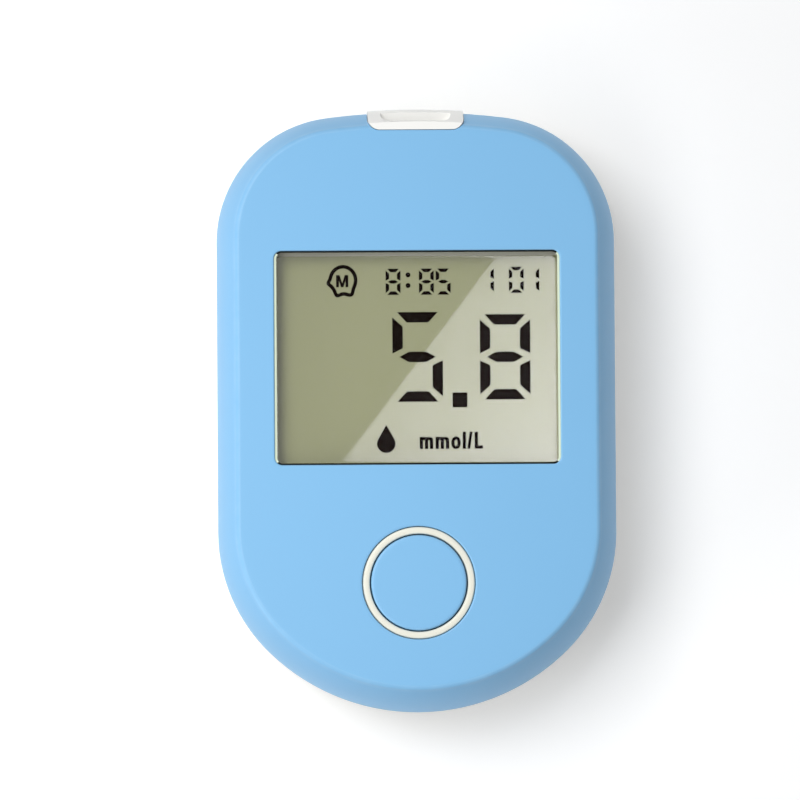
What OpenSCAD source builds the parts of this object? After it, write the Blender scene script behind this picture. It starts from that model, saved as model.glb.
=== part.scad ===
// Blood glucose meter: two moulded covers, a segment display, one button,
// a test-strip port at the top end and two AAA cells under a sliding door.
// The meter lies on its back: +Z out of the display, +Y towards the strip port.
// The origin is the middle of the rest plane.

/* [Covers] */
// Width of the covers, side to side
body_w = 58; // [56:0.5:60]
// Length of the covers, without the strip port that stands out
body_l = 87.6; // [86:0.2:92]
// Half the arc of the shallow crown at the strip end, in degrees
crown_angle = 7.2; // [6:0.1:8]
// Radius of the corners at the strip end
top_corner_r = 18.3; // [16:0.1:19.5]
// Half the arc of the round button end, in degrees
end_angle = 44.7; // [43:0.1:47]
// Radius of the corners beside the button
low_corner_r = 24.5; // [23.5:0.1:25.5]
// Thickness of the side walls
wall_t = 1.8; // [1.4:0.1:2.1]
// Thickness of the front face
face_t = 1.6; // [1.2:0.1:2]
// Thickness of the rear floor
floor_t = 1.6; // [1.4:0.1:2.2]
// Height of the parting line over the rest plane
parting_z = 9.5; // [9:0.1:10.5]
// How far the flat face ends inside the outline
face_inset = 2.84; // [2.2:0.02:3.2]
// How far the flat underside ends inside the outline
rear_inset = 3.2; // [2.4:0.1:3.6]
// Rounding of the crease between the face and the sides
face_crease_r = 0.8; // [0.4:0.1:1.2]
// Rounding of the crease round the underside
rear_crease_r = 1.6; // [0.8:0.1:2]
// Width of the shadow line between the covers
seam_w = 0.3; // [0.1:0.05:0.5]
// Depth of the shadow line between the covers
seam_depth = 0.5; // [0.3:0.05:0.8]
// Thickness of the rear cover's lip inside the front cover
lip_t = 0.8; // [0.6:0.05:1]
// Height of that lip over the parting line
lip_h = 1.2; // [0.8:0.1:1.6]

/* [Display] */
// Distance from the sides of the covers to the window opening
window_side = 8.3; // [8:0.1:9.6]
// Height of the window opening
window_h = 31.1; // [28:0.1:31.6]
// Corner radius of the window opening
window_corner_r = 1.1; // [0.6:0.1:2]
// Place of the window's middle, as a share of the length from the top
window_place = 0.419; // [0.412:0.001:0.424]
// How far the window lies below the face
window_recess = 0.25; // [0.1:0.05:0.5]
// Width of the window's flange behind the face
window_flange_w = 1.7; // [1:0.1:2]
// Thickness of the window's flange
window_flange_t = 1.0; // [0.8:0.1:1.4]
// Thickness of the adhesive frame
tape_t = 0.2; // [0.1:0.05:0.4]
// Air between the window and the display
display_air = 0.2; // [0.1:0.05:0.5]
// Thickness of each polariser
polariser_t = 0.2; // [0.1:0.05:0.3]
// Thickness of each glass of the display
glass_t = 0.7; // [0.5:0.05:0.8]
// Height of the seal between the two glasses
seal_t = 0.05; // [0.04:0.01:0.08]
// How far the front glass reaches past the rear glass, over the connectors
glass_ledge = 1.4; // [1.3:0.1:1.7]
// Thickness of the elastomer connectors
zebra_t = 1.2; // [0.9:0.1:1.2]
// Height of the elastomer connectors
zebra_h = 1.9; // [1.8:0.1:2.4]
// Length of the elastomer connectors
zebra_l = 38; // [30:1:40]
// Thickness of the display frame's wall
frame_wall = 1.2; // [0.8:0.1:1.2]
// Height of the large figures
digit_h = 12.7; // [12:0.1:13]
// Width of the large figures
digit_w = 7.3; // [6.8:0.1:7.8]
// Stroke of the large figures
digit_stroke = 1.5; // [1.2:0.02:1.6]
// Height of the small figures
small_digit_h = 3.8; // [3.4:0.1:4.2]
// Width of the small figures
small_digit_w = 2.15; // [1.9:0.05:2.3]
// Stroke of the small figures
small_digit_stroke = 0.5; // [0.38:0.02:0.54]

/* [Button] */
// Diameter of the button's face
button_d = 13.8; // [12:0.1:13.9]
// Outer diameter of the ring round the button
ring_d = 16.2; // [16:0.1:17]
// Inner diameter of that ring
ring_bore_d = 14.2; // [14.1:0.1:14.6]
// Place of the button's middle, as a share of the length from the button end
button_place = 0.2078; // [0.204:0.0002:0.212]
// Thickness of the button's top
button_top_t = 1.5; // [1:0.1:1.8]
// How far the ring lies below the face
ring_recess = 0.12; // [0:0.02:0.3]
// How far the button stands above the face
button_proud = 0.1; // [0:0.02:0.4]
// Travel of the button
button_travel = 0.5; // [0.2:0.05:0.6]
// Side of the square tactile switch
switch_w = 6; // [5.2:0.1:6.2]
// Height of the switch's base
switch_base_h = 1.7; // [1.6:0.05:1.9]
// Diameter of the switch's plunger
plunger_d = 3.4; // [2.8:0.1:3.6]

/* [Strip port] */
// Width of the port's mouth piece
port_w = 13.9; // [13:0.1:15]
// How far the port stands out of the top end
port_proud = 0.4; // [0.2:0.05:0.8]
// Length of the port seen from above, from the outline inwards
port_depth = 3.55; // [3.3:0.05:3.7]
// Corner radius of the port seen from above
port_corner_r = 1.7; // [1:0.1:2.2]
// Width of the scoop that guides a finger and the strip
scoop_w = 10.2; // [9.6:0.1:11]
// Depth of the scoop from the port's tip
scoop_depth = 2.65; // [2.4:0.05:2.8]
// Width of the slot for the strip
slot_w = 8; // [7:0.1:8.6]
// Height of the slot for the strip
slot_h = 1.2; // [0.8:0.1:1.4]
// Number of contacts in the strip connector
contact_count = 5; // [3:1:5]

/* [Cells] */
// Diameter of an AAA cell
cell_d = 10.5; // [10:0.1:10.7]
// Length of an AAA cell without its positive cap
cell_l = 43.5; // [43:0.1:43.8]
// Diameter of the positive cap
cap_d = 3.8; // [3.4:0.1:5]
// Height of the positive cap
cap_h = 1.0; // [0.8:0.1:1.2]
// Gap between the two cells
cell_gap = 0.5; // [0.4:0.1:1]
// Room for a compressed contact spring
spring_l = 4.0; // [3.8:0.1:4.6]
// Diameter of the spring wire
wire_d = 0.5; // [0.4:0.05:0.55]
// Turns of each contact spring
spring_turns = 3; // [2:1:3]
// Thickness of the sheet-metal contacts
contact_t = 0.35; // [0.25:0.05:0.5]
// Width of the battery door
door_w = 24; // [22:0.5:24.4]
// Width of the tongue on each side of the door
door_tongue = 0.8; // [0.5:0.1:1]
// How far the door reaches past the bay at the strip end
door_overlap = 2.4; // [2:0.1:4]
// Running clearance round the door
door_clear = 0.12; // [0.08:0.01:0.2]

/* [Board] */
// Thickness of the circuit board
board_t = 1.0; // [0.8:0.1:1.2]
// Distance from the sides of the covers to the circuit board
board_side = 5.5; // [5:0.1:6.5]
// Width of the board's two end tongues
board_tongue_w = 26; // [24:0.5:26.4]
// Gap between the roof of the battery bay and the board
board_air = 0.45; // [0.4:0.05:0.8]

/* [Screws] */
// Shank diameter of the cover screws
cover_screw_d = 2; // [1.8:0.1:2.2]
// Head diameter of the cover screws
cover_head_d = 3.8; // [3.4:0.1:4]
// Distance of the cover screws from the outline
screw_inset = 7; // [6.8:0.1:7.3]
// Shank diameter of the board screws
board_screw_d = 1.6; // [1.4:0.1:1.8]
// Head diameter of the board screws
board_head_d = 3.2; // [2.8:0.1:3.4]

/* [Hidden] */

$fn = 96;
outline_fn = 180;
// Depth of the lip's root under the parting line
lip_root = 1.6;
// Overreach of cutters past the surface that they cut
over = 1;
// Gap between fixed pieces that fit one another
fit = 0.1;
// Gap between faces that lie on one another
face_fit = 0.02;

// Stack of pieces from the rest plane to the face
cell_air = 0.35;
roof_air = 0.3;
roof_t = 1.0;
cell_z = floor_t + cell_air + cell_d / 2;
roof_z = cell_z + cell_d / 2 + roof_air;
board_z = roof_z + roof_t + board_air;
board_top = board_z + board_t;
front_glass_z = board_top + zebra_h;
polariser_z = front_glass_z + glass_t;
flange_z = polariser_z + polariser_t + display_air;
tape_z = flange_z + window_flange_t;
plate_z = tape_z + tape_t;
body_h = plate_z + face_t;

// Outline of the covers: a shallow crown, two corners, straight sides,
// two lower corners and a round end, all tangent
half_w = body_w / 2;
end_y = -(body_l + port_proud) / 2;
top_y = end_y + body_l;
top_corner_cx = half_w - top_corner_r;
crown_r = top_corner_r + top_corner_cx / sin(crown_angle);
crown_cy = top_y - crown_r;
top_corner_cy = crown_cy + (crown_r - top_corner_r) * cos(crown_angle);
low_corner_cx = half_w - low_corner_r;
end_r = low_corner_r + low_corner_cx / sin(end_angle);
end_cy = end_y + end_r;
low_corner_cy = end_cy - (end_r - low_corner_r) * cos(end_angle);

// Side profiles: one arc from the parting line to each crease
front_rise = body_h - parting_z;
front_side_r = (front_rise * front_rise + face_inset * face_inset) / (2 * face_inset);
rear_side_r = (parting_z * parting_z + rear_inset * rear_inset) / (2 * rear_inset);
// How far the wall's profile reaches into the flat plates
plate_reach = 7;
plate_lap = 1.5;

// Cover screws and their bosses
top_screw_angle = 58.6;
low_screw_angle = -46.3;
screw_seat_z = 4;
screw_head_h = 1.4;
counterbore_gap = 0.4;
rear_boss_wall = 1;
rear_boss_d = cover_head_d + 2 * (counterbore_gap + rear_boss_wall);
front_boss_d = 5.2;
boss_step = 0.5;
boss_meet_z = parting_z - boss_step;
screw_tip_gap = 6;
cover_screw_tip = plate_z - screw_tip_gap;
thread_gap = 0.02;
shank_gap = 0.2;
top_screw_x = top_corner_cx + (top_corner_r - screw_inset) * cos(top_screw_angle);
top_screw_y = top_corner_cy + (top_corner_r - screw_inset) * sin(top_screw_angle);
low_screw_x = low_corner_cx + (low_corner_r - screw_inset) * cos(low_screw_angle);
low_screw_y = low_corner_cy + (low_corner_r - screw_inset) * sin(low_screw_angle);
cover_screw_xy = [
    for (side = [-1, 1]) [side * top_screw_x, top_screw_y],
    for (side = [-1, 1]) [side * low_screw_x, low_screw_y]
];

// Display
window_w = body_w - 2 * window_side;
window_cy = top_y - window_place * body_l;
window_gap = 0.06;
window_top_z = body_h - window_recess;
flange_w = window_w + 2 * window_flange_w;
flange_h = window_h + 2 * window_flange_w;
lcd_side_gap = 0.4;
lcd_w = flange_w - 2 * lcd_side_gap;
lcd_h = flange_h;
rear_glass_h = lcd_h - 2 * glass_ledge;
polariser_margin = 0.4;
segment_z = front_glass_z - seal_t;
rear_glass_z = segment_z - glass_t;
reflector_z = rear_glass_z - polariser_t;
frame_w = lcd_w + 2 * fit + 2 * frame_wall;
frame_h = lcd_h + 2 * fit + 2 * frame_wall;
frame_top_z = polariser_z;
frame_ledge_w = 2;
seal_w = 0.8;

// What the display shows, placed from the window's middle: each figure's place
// and bars, and the share of the usual height that each large one takes
large_figures = [[0.1, 0.35, "acdfg", 1.027], [12.8, 0.3, "abcdefg", 0.976]];
small_figures = [
    [-3.4, 11.3, "abcdefg"], [1.44, 11.3, "abcdefg"], [3.88, 11.3, "acdfg"],
    [10.17, 11.5, "bc"], [14.5, 11.5, "abcdef"], [16.76, 11.5, "bc"]
];
point_at = [6.2, -5.94];
point_w = 2.15;
colon_x = -1.23;
colon_y = [10.75, 12.3];
colon_d = 0.7;
drop_at = [-4.53, -12.25];
drop_r = 1.34;
drop_h = 4.06;

// Board and its screws
board_gap = 0.4;
board_w = body_w - 2 * board_side;
board_past_low = 7.6;
board_past_high = 6;
board_from_top = 4.6;
board_from_end = 6;
board_high_y = min(top_screw_y - front_boss_d / 2, window_cy + frame_h / 2 + board_past_high) - board_gap;
board_low_y = window_cy - frame_h / 2 - board_past_low;
board_top_y = top_y - board_from_top;
board_end_y = end_y + board_from_end;
board_boss_d = 4;
board_boss_inset = 2.7;
board_boss_x = board_w / 2 - board_boss_inset;
board_boss_high_y = window_cy + frame_h / 2 + board_boss_d / 2 + board_gap;
board_boss_low_y = window_cy - frame_h / 2 - board_boss_d / 2 - board_gap;
board_screw_l = 3.4;
board_screw_short = 0.4;
board_head_h = 1;
board_screw_xy = [
    for (side = [-1, 1], y = [board_boss_low_y, board_boss_high_y]) [side * board_boss_x, y]
];

// Battery bay
cell_x = (cell_d + cell_gap) / 2;
bay_half_w = cell_x + cell_d / 2 + cell_air;
bay_wall = 1.2;
end_gap = 0.1;
bay_l = 2 * contact_t + spring_l + cell_l + cap_h + 2 * end_gap;
bay_from_end = 7.4;
bay_end_y = end_y + bay_from_end;
bay_top_y = bay_end_y + bay_l;
door_top_y = bay_top_y + door_overlap;
tongue_z = 0.9;
rail_half_w = door_w / 2 + door_tongue;
grip_count = 5;
grip_pitch = 2.2;
grip_w = 12;
grip_line = 1;
grip_depth = 0.4;
grip_from_bay = 3;

// Cells, their sleeves and their contacts
cell_shoulder = 0.6;
cell_shoulder_w = 1;
jacket_t = 0.15;
jacket_margin = 1;
contact_plate_h = 8.4;
contact_plate_w = 8.6;
tab_w = 2;
tab_reach = 0.4;
spring_steps = 8;
spring_base_r = 3.2;
spring_tip_r = 1.9;
wire_sides = 6;
spring_rise = spring_l - wire_d - end_gap;

// Button and switch
button_y = end_y + button_place * body_l;
ring_flange_w = 1.2;
ring_flange_t = 0.8;
ring_bottom_z = plate_z - face_fit - ring_flange_t;
cap_top_z = body_h + button_proud;
cap_flange_t = 0.7;
cap_flange_w = 0.8;
cap_flange_z = ring_bottom_z - fit - cap_flange_t;
cap_skirt_t = 1.2;
cap_post_d = 4;
switch_plate_t = 0.25;
switch_plate_z = board_top + switch_base_h;
dome_seat = 0.5;
dome_z = board_top + dome_seat;
dome_d = 4.2;
dome_h = button_travel + fit;
dome_t = 0.12;
plunger_foot_d = 4.2;
plunger_foot_t = 0.35;
plunger_gap = 0.05;
plunger_rise = 0.75;
plunger_foot_z = dome_z + dome_h + plunger_gap;
plunger_top_z = switch_plate_z + switch_plate_t + plunger_rise;
pin_w = 0.7;
pin_t = 0.2;
pin_h = 0.9;
pin_reach = 1.2;
pin_y = 2.2;

// Strip port and its connector
port_tip_y = top_y + port_proud;
port_inner_y = top_y - port_depth;
port_back = 3.9;
port_back_y = top_y - port_back;
port_foot_z = parting_z + fit;
strip_rise = 1.2;
strip_z = board_top + strip_rise;
port_pocket = 3;
scoop_corner_r = 1.2;
wing_w = 1.6;
wing_t = 0.8;
wing_back = 3.5;
wing_y = top_y - wing_back;
wing_top_z = board_z - board_gap;
connector_w = 12;
connector_l = 8.5;
connector_wall = 1.2;
connector_roof = 1;
connector_top_z = strip_z + slot_h + connector_roof;
connector_front_y = port_back_y - fit;
connector_back_y = connector_front_y - connector_l;
contact_pitch = 1.4;
contact_w = 0.5;
contact_sheet = 0.2;
contact_foot = 1.2;
contact_bend = 1.4;
contact_crest = 5.4;
contact_tip = 6.6;
contact_drop = 0.9;
contact_rise = 0.35;
lip_gap_depth = 4;

// Holes that let the buzzer be heard
buzzer_w = 9;
buzzer_h = 2.6;
buzzer_port_d = 2;
buzzer_from_side = 5.8;
buzzer_from_screw = 6.95;
buzzer_at = [buzzer_from_side - board_w / 2, board_boss_high_y - buzzer_from_screw];
sound_hole_d = 1;
sound_hole_ring = 2.2;
sound_hole_count = 5;

// Parts under the board, in a column on each side of the bay
column_from_bay = 5.4;
column_x = bay_half_w + bay_wall + column_from_bay;
part_gap = 0.1;
chip_h = 1.2;
lead_w = 0.35;
lead_reach = 0.7;
lead_margin = 0.6;
processor_w = 7;
processor_leads = 8;
processor_drop = 4;
processor_at = [column_x, window_cy - processor_drop];
small_chip_w = 3.9;
small_chip_l = 5;
small_chip_leads = 4;
small_chip_from_top = 17;
small_chip_x = 4.5;
signal_chip_at = [-small_chip_x, top_y - small_chip_from_top];
memory_chip_at = [small_chip_x, top_y - small_chip_from_top];
crystal_d = 2;
crystal_l = 6;
crystal_shift = 4;
crystal_lift = 5;
crystal_at = [column_x - crystal_shift, window_cy + crystal_lift];
crystal_lead_w = 0.3;
crystal_lead_y = 0.4;
crystal_lead_l = 1.2;
part_l = 1.6;
part_w = 0.8;
part_h = 0.7;
part_column = 3.4;
part_row = 2.2;
part_rows = 3;
right_parts_shift = 2.6;
right_parts_drop = 18;
left_parts_shift = 1.8;
left_parts_drop = 10;
right_parts_at = [column_x - right_parts_shift, window_cy - right_parts_drop];
left_parts_at = [-column_x - left_parts_shift, window_cy - left_parts_drop];

// Cross recess of the screw heads
recess_share = 0.6;
recess_w = 0.4;

plastic_blue = [0.55, 0.77, 0.92];
plastic_white = [0.95, 0.94, 0.9];
cream = [0.93, 0.91, 0.82];
steel = [0.75, 0.76, 0.78];
gold = [0.85, 0.68, 0.3];
black = [0.1, 0.1, 0.11];

// ---- outline helpers ----

function arc_points(cx, cy, r, from, to, steps) =
    [for (i = [0:steps]) let (a = from + (to - from) * i / steps) [cx + r * cos(a), cy + r * sin(a)]];

// The outline, drawn in by inset all round
function outline_points(inset) = concat(
    arc_points(0, crown_cy, crown_r - inset, 90 - crown_angle, 90 + crown_angle, 6),
    arc_points(-top_corner_cx, top_corner_cy, top_corner_r - inset, 90 + crown_angle, 180, 12),
    arc_points(-low_corner_cx, low_corner_cy, low_corner_r - inset, 180, 270 - end_angle, 8),
    arc_points(0, end_cy, end_r - inset, 270 - end_angle, 270 + end_angle, 12),
    arc_points(low_corner_cx, low_corner_cy, low_corner_r - inset, 270 + end_angle, 360, 8),
    arc_points(top_corner_cx, top_corner_cy, top_corner_r - inset, 0, 90 - crown_angle, 12)
);

// Moves to a place in two steps: to the nearest tenth, then by what is left
module move_to(x, y) {
    coarse = [round(x * 10) / 10, round(y * 10) / 10];
    translate(coarse) translate([x, y] - coarse) children();
}

// One arc of the outline, from a start angle through a turn
module arc_sweep(x, y, r, start, turn) {
    move_to(x, y)
        rotate_extrude(angle = turn, start = start, $fn = outline_fn)
            move_to(r, 0) children();
}

// Sweeps a wall profile round the outline. The profile is drawn with the
// outline at x = 0, the inside of the covers at negative x, and y as height.
module sweep_outline() {
    arc_sweep(0, crown_cy, crown_r, 90 - crown_angle, 2 * crown_angle) children();
    arc_sweep(0, end_cy, end_r, 270 - end_angle, 2 * end_angle) children();
    for (side = [0, 1]) mirror([side, 0, 0]) {
        arc_sweep(top_corner_cx, top_corner_cy, top_corner_r, 0, 90 - crown_angle) children();
        arc_sweep(low_corner_cx, low_corner_cy, low_corner_r, end_angle - 90, 90 - end_angle) children();
        difference() {
            move_to(half_w, top_corner_cy) rotate([90, 0, 0]) linear_extrude(body_l) children();
            move_to(half_w, low_corner_cy)
                translate([-half_w, -body_l, -over]) cube([body_w, body_l, body_h + 2 * over]);
        }
    }
}

// Profile of a cover's wall and the edge of its flat plate, standing on y = 0
// at the parting line: side_r is the side's arc, rise the height of the cover.
// The inside of the wall ends at root, and the points of rim close the profile.
module wall_profile(side_r, rise, crease_r, plate_t, root, rim) {
    crease_x = -side_r + sqrt(pow(side_r - crease_r, 2) - pow(rise - crease_r, 2));
    crease_turn = asin((rise - crease_r) / (side_r - crease_r));
    side_arc = arc_points(-side_r, 0, side_r, 0, crease_turn, 12);
    crease_arc = arc_points(crease_x, rise - crease_r, crease_r, crease_turn, 90, 5);
    inner_r = side_r - wall_t;
    plate_turn = asin((rise - plate_t) / inner_r);
    inner_arc = arc_points(-side_r, 0, inner_r, plate_turn, asin(root / inner_r), 8);
    plate_edge = [[-plate_reach, rise], [-plate_reach, rise - plate_t]];
    polygon(concat(side_arc, crease_arc, plate_edge, inner_arc, rim));
}

module front_profile() {
    translate([0, parting_z])
        wall_profile(front_side_r, front_rise, face_crease_r, face_t, 0, []);
}

// The rear wall carries a lip that stands up inside the front cover
module rear_profile() {
    lip_out = wall_t + fit;
    lip_in = lip_out + lip_t;
    lip_points = [[-lip_in, lip_root], [-lip_in, -lip_h], [-lip_out, -lip_h], [-lip_out, 0]];
    translate([0, parting_z]) mirror([0, 1])
        wall_profile(rear_side_r, parting_z, rear_crease_r, floor_t, lip_root, lip_points);
}

module rounded_rect(w, h, r) {
    for (x = [-1, 1], y = [-1, 1])
        translate([x * (w / 2 - r), y * (h / 2 - r)]) circle(r, $fn = 48);
    square([w - 2 * r, h], center = true);
    square([w, h - 2 * r], center = true);
}

module plate_box(w, h, t, z) {
    translate([-w / 2, window_cy - h / 2, z]) cube([w, h, t]);
}

module tube(outer_d, inner_d, h) {
    difference() {
        cylinder(d = outer_d, h = h);
        translate([0, 0, -over]) cylinder(d = inner_d, h = h + 2 * over);
    }
}

// ---- covers ----

module front_cover() color(plastic_blue) difference() {
    union() {
        sweep_outline() front_profile();
        translate([0, 0, plate_z])
            linear_extrude(face_t) polygon(outline_points(plate_reach - plate_lap));
        for (p = cover_screw_xy)
            translate([p[0], p[1], boss_meet_z + face_fit])
                cylinder(d = front_boss_d, h = plate_z - boss_meet_z);
        for (p = board_screw_xy)
            translate([p[0], p[1], board_top + face_fit])
                cylinder(d = board_boss_d, h = plate_z - board_top);
    }
    translate([0, window_cy, plate_z - over])
        linear_extrude(face_t + 2 * over) rounded_rect(window_w, window_h, window_corner_r);
    translate([0, button_y, plate_z - over])
        cylinder(d = ring_d + 2 * fit, h = face_t + 2 * over);
    port_notch();
    for (p = cover_screw_xy)
        translate([p[0], p[1], boss_meet_z - over])
            cylinder(d = cover_screw_d + 2 * thread_gap, h = cover_screw_tip - boss_meet_z + 2 * over,
                $fn = 32);
    for (p = board_screw_xy)
        translate([p[0], p[1], board_top - over])
            cylinder(d = board_screw_d + 2 * thread_gap, h = board_screw_l + over, $fn = 32);
    seam_cut();
}

// The shadow line is cut out of the front cover's lower edge
module seam_cut()
    sweep_outline()
        translate([-seam_depth, parting_z - seam_w]) square([seam_depth + over, 2 * seam_w]);

// Plan outline of the port, round at its inner corners
module port_plan(gap) {
    w = port_w + 2 * gap;
    r = port_corner_r + gap;
    y = port_inner_y - gap;
    translate([-w / 2, y + r]) square([w, port_tip_y + over - y - r]);
    translate([-w / 2 + r, y]) square([w - 2 * r, r + over]);
    for (side = [-1, 1]) translate([side * (w / 2 - r), y + r]) circle(r, $fn = 48);
}

module port_notch() {
    translate([0, 0, parting_z - over])
        linear_extrude(front_rise + 2 * over) port_plan(fit);
    translate([-port_w / 2 - fit, port_back_y - port_pocket, parting_z - over])
        cube([port_w + 2 * fit, port_pocket + port_depth, plate_z - parting_z + over - fit]);
}

module rear_cover() color(plastic_white) difference() {
    union() {
        sweep_outline() rear_profile();
        linear_extrude(floor_t) polygon(outline_points(plate_reach - plate_lap));
        translate([0, 0, floor_t - over / 2]) bay_walls();
        for (p = cover_screw_xy)
            translate([p[0], p[1], floor_t / 2])
                cylinder(d = rear_boss_d, h = boss_meet_z - floor_t / 2);
    }
    lip_gap();
    door_cut();
    bay_cut();
    for (p = cover_screw_xy) translate([p[0], p[1], 0]) {
        translate([0, 0, -over])
            cylinder(d = cover_head_d + 2 * counterbore_gap, h = screw_seat_z + over);
        cylinder(d = cover_screw_d + 2 * shank_gap, h = parting_z + over, $fn = 48);
    }
    sound_holes();
}

// The lip is open behind the strip port, a little deeper than its foot
module lip_gap() {
    w = port_w + 2 * wing_w + 4 * fit;
    translate([-w / 2, top_y - wall_t + 2 * fit - lip_gap_depth, parting_z - 2 * fit])
        cube([w, lip_gap_depth, lip_h + over]);
}

module bay_walls() {
    w = 2 * (bay_half_w + bay_wall);
    translate([-w / 2, bay_end_y - bay_wall, 0])
        cube([w, bay_l + 2 * bay_wall, roof_z + roof_t - floor_t + over / 2]);
}

module bay_cut() {
    translate([-bay_half_w, bay_end_y, -over])
        cube([2 * bay_half_w, bay_l, roof_z + over]);
    terminal_slots();
}

// Way for the two terminal tabs through the roof of the bay
module terminal_slots() {
    for (side = [-1, 1])
        translate([side * cell_x - tab_w / 2 - fit, bay_top_y - contact_t - 2 * fit, roof_z - over])
            cube([tab_w + 2 * fit, contact_t + 2 * fit, roof_t + 2 * over]);
}

module door_cut() {
    h = floor_t + door_clear;
    translate([-door_w / 2 - door_clear, end_y - over, -over])
        cube([door_w + 2 * door_clear, door_top_y + door_clear - end_y + over, h + over]);
    translate([-rail_half_w - door_clear, end_y - over, tongue_z - door_clear])
        cube([
            2 * (rail_half_w + door_clear), door_top_y + door_clear - end_y + over, h - tongue_z + door_clear
        ]);
}

module battery_door() color(plastic_white) difference() {
    intersection() {
        union() {
            sweep_outline() rear_profile();
            linear_extrude(floor_t) polygon(outline_points(plate_reach - plate_lap));
        }
        union() {
            translate([-door_w / 2, end_y - over, -over])
                cube([door_w, door_top_y - end_y + over, floor_t + over]);
            translate([-rail_half_w, end_y - over, tongue_z])
                cube([2 * rail_half_w, door_top_y - end_y + over, floor_t - tongue_z]);
        }
    }
    for (i = [0:grip_count - 1])
        translate([-grip_w / 2, bay_end_y + grip_from_bay + i * grip_pitch, -over])
            cube([grip_w, grip_line, grip_depth + over]);
}

module sound_holes() {
    translate([buzzer_at[0], buzzer_at[1], -over]) {
        cylinder(d = sound_hole_d, h = floor_t + 2 * over, $fn = 24);
        for (i = [0:sound_hole_count - 1]) rotate([0, 0, i * 360 / sound_hole_count])
            translate([sound_hole_ring, 0, 0])
                cylinder(d = sound_hole_d, h = floor_t + 2 * over, $fn = 24);
    }
}

// ---- strip port ----

module port_insert() color(plastic_white) difference() {
    union() {
        intersection() {
            union() {
                translate([0, 0, port_foot_z])
                    linear_extrude(body_h - port_foot_z) port_plan(0);
                translate([-port_w / 2, port_back_y, port_foot_z])
                    cube([port_w, port_depth, plate_z - 2 * fit - port_foot_z]);
            }
            proud_crown();
        }
        translate([-port_w / 2 - wing_w, wing_y, port_foot_z])
            cube([port_w + 2 * wing_w, wing_t, wing_top_z - port_foot_z]);
    }
    scoop();
    strip_slot(port_back_y - over, port_tip_y);
}

// The covers' crown, moved out by the port's overhang
module proud_crown() {
    arc_sweep(0, crown_cy, crown_r, 90 - crown_angle, 2 * crown_angle) difference() {
        translate([-plate_reach, port_foot_z])
            square([plate_reach + port_proud, body_h - port_foot_z]);
        translate([-front_side_r, parting_z]) difference() {
            translate([front_side_r - plate_reach, 0])
                square([plate_reach + port_proud + over, front_rise + over]);
            circle(front_side_r + port_proud, $fn = 360);
        }
    }
}

module scoop() {
    y = port_tip_y - scoop_depth;
    r = scoop_corner_r;
    translate([0, 0, strip_z]) linear_extrude(body_h - strip_z + over) {
        translate([-scoop_w / 2, y + r]) square([scoop_w, scoop_depth - r + over]);
        translate([-scoop_w / 2 + r, y]) square([scoop_w - 2 * r, scoop_depth]);
        for (side = [-1, 1]) translate([side * (scoop_w / 2 - r), y + r]) circle(r, $fn = 48);
    }
}

module strip_slot(from_y, to_y) {
    translate([-slot_w / 2, from_y, strip_z]) cube([slot_w, to_y - from_y, slot_h]);
}

module strip_connector() color(black) difference() {
    translate([-connector_w / 2, connector_back_y, board_top])
        cube([connector_w, connector_l, connector_top_z - board_top]);
    strip_slot(connector_back_y + connector_wall, connector_front_y + over);
    for (i = [0:contact_count - 1])
        translate([contact_x(i) - contact_w / 2 - fit, connector_back_y - over, board_top - over])
            cube([contact_w + 2 * fit, connector_l - connector_wall + over, strip_rise + slot_h / 2 + over]);
}

function contact_x(i) = (i - (contact_count - 1) / 2) * contact_pitch;

// Each contact rises from its solder foot and bows up into the strip slot
module strip_contacts() color(gold) {
    crest_z = strip_rise + contact_rise - face_fit;
    s = contact_sheet;
    for (i = [0:contact_count - 1])
        translate([contact_x(i) - contact_w / 2, connector_back_y, board_top + face_fit]) rotate([90, 0, 90])
            linear_extrude(contact_w) polygon([
                [-contact_foot, 0], [contact_bend, 0], [contact_crest, crest_z - s],
                [contact_tip, crest_z - contact_drop], [contact_tip + s, crest_z - contact_drop],
                [contact_crest + s, crest_z], [contact_crest - s, crest_z],
                [contact_bend - s / 2, s], [-contact_foot, s]
            ]);
}

// ---- display ----

module display_window() color([0.8, 0.9, 0.9, 0.4]) union() {
    translate([0, window_cy, flange_z])
        linear_extrude(window_flange_t - face_fit) rounded_rect(flange_w, flange_h, window_corner_r);
    translate([0, window_cy, flange_z])
        linear_extrude(window_top_z - flange_z)
            rounded_rect(window_w - 2 * window_gap, window_h - 2 * window_gap, window_corner_r - window_gap);
}

module window_tape() color(black) difference() {
    translate([0, window_cy, tape_z])
        linear_extrude(tape_t - face_fit) rounded_rect(flange_w, flange_h, window_corner_r);
    translate([0, window_cy, tape_z - over])
        linear_extrude(tape_t + 2 * over) rounded_rect(window_w + fit, window_h + fit, window_corner_r);
}

module front_polariser() color([0.6, 0.62, 0.5])
    plate_box(window_w + 2 * polariser_margin, window_h + 2 * polariser_margin, polariser_t, polariser_z);

module lcd_front_glass() color([0.75, 0.85, 0.8, 0.5])
    plate_box(lcd_w, lcd_h, glass_t, front_glass_z);

module lcd_rear_glass() color([0.75, 0.85, 0.8, 0.5])
    plate_box(lcd_w, rear_glass_h, glass_t, rear_glass_z);

module lcd_reflector() color([0.72, 0.72, 0.6])
    plate_box(lcd_w - 2 * fit, rear_glass_h - 2 * fit, polariser_t, reflector_z);

module lcd_seal() color([0.85, 0.85, 0.8]) difference() {
    plate_box(lcd_w, rear_glass_h, seal_t, segment_z);
    plate_box(lcd_w - 2 * seal_w, rear_glass_h - 2 * seal_w, 3 * seal_t, segment_z - seal_t);
}

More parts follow.
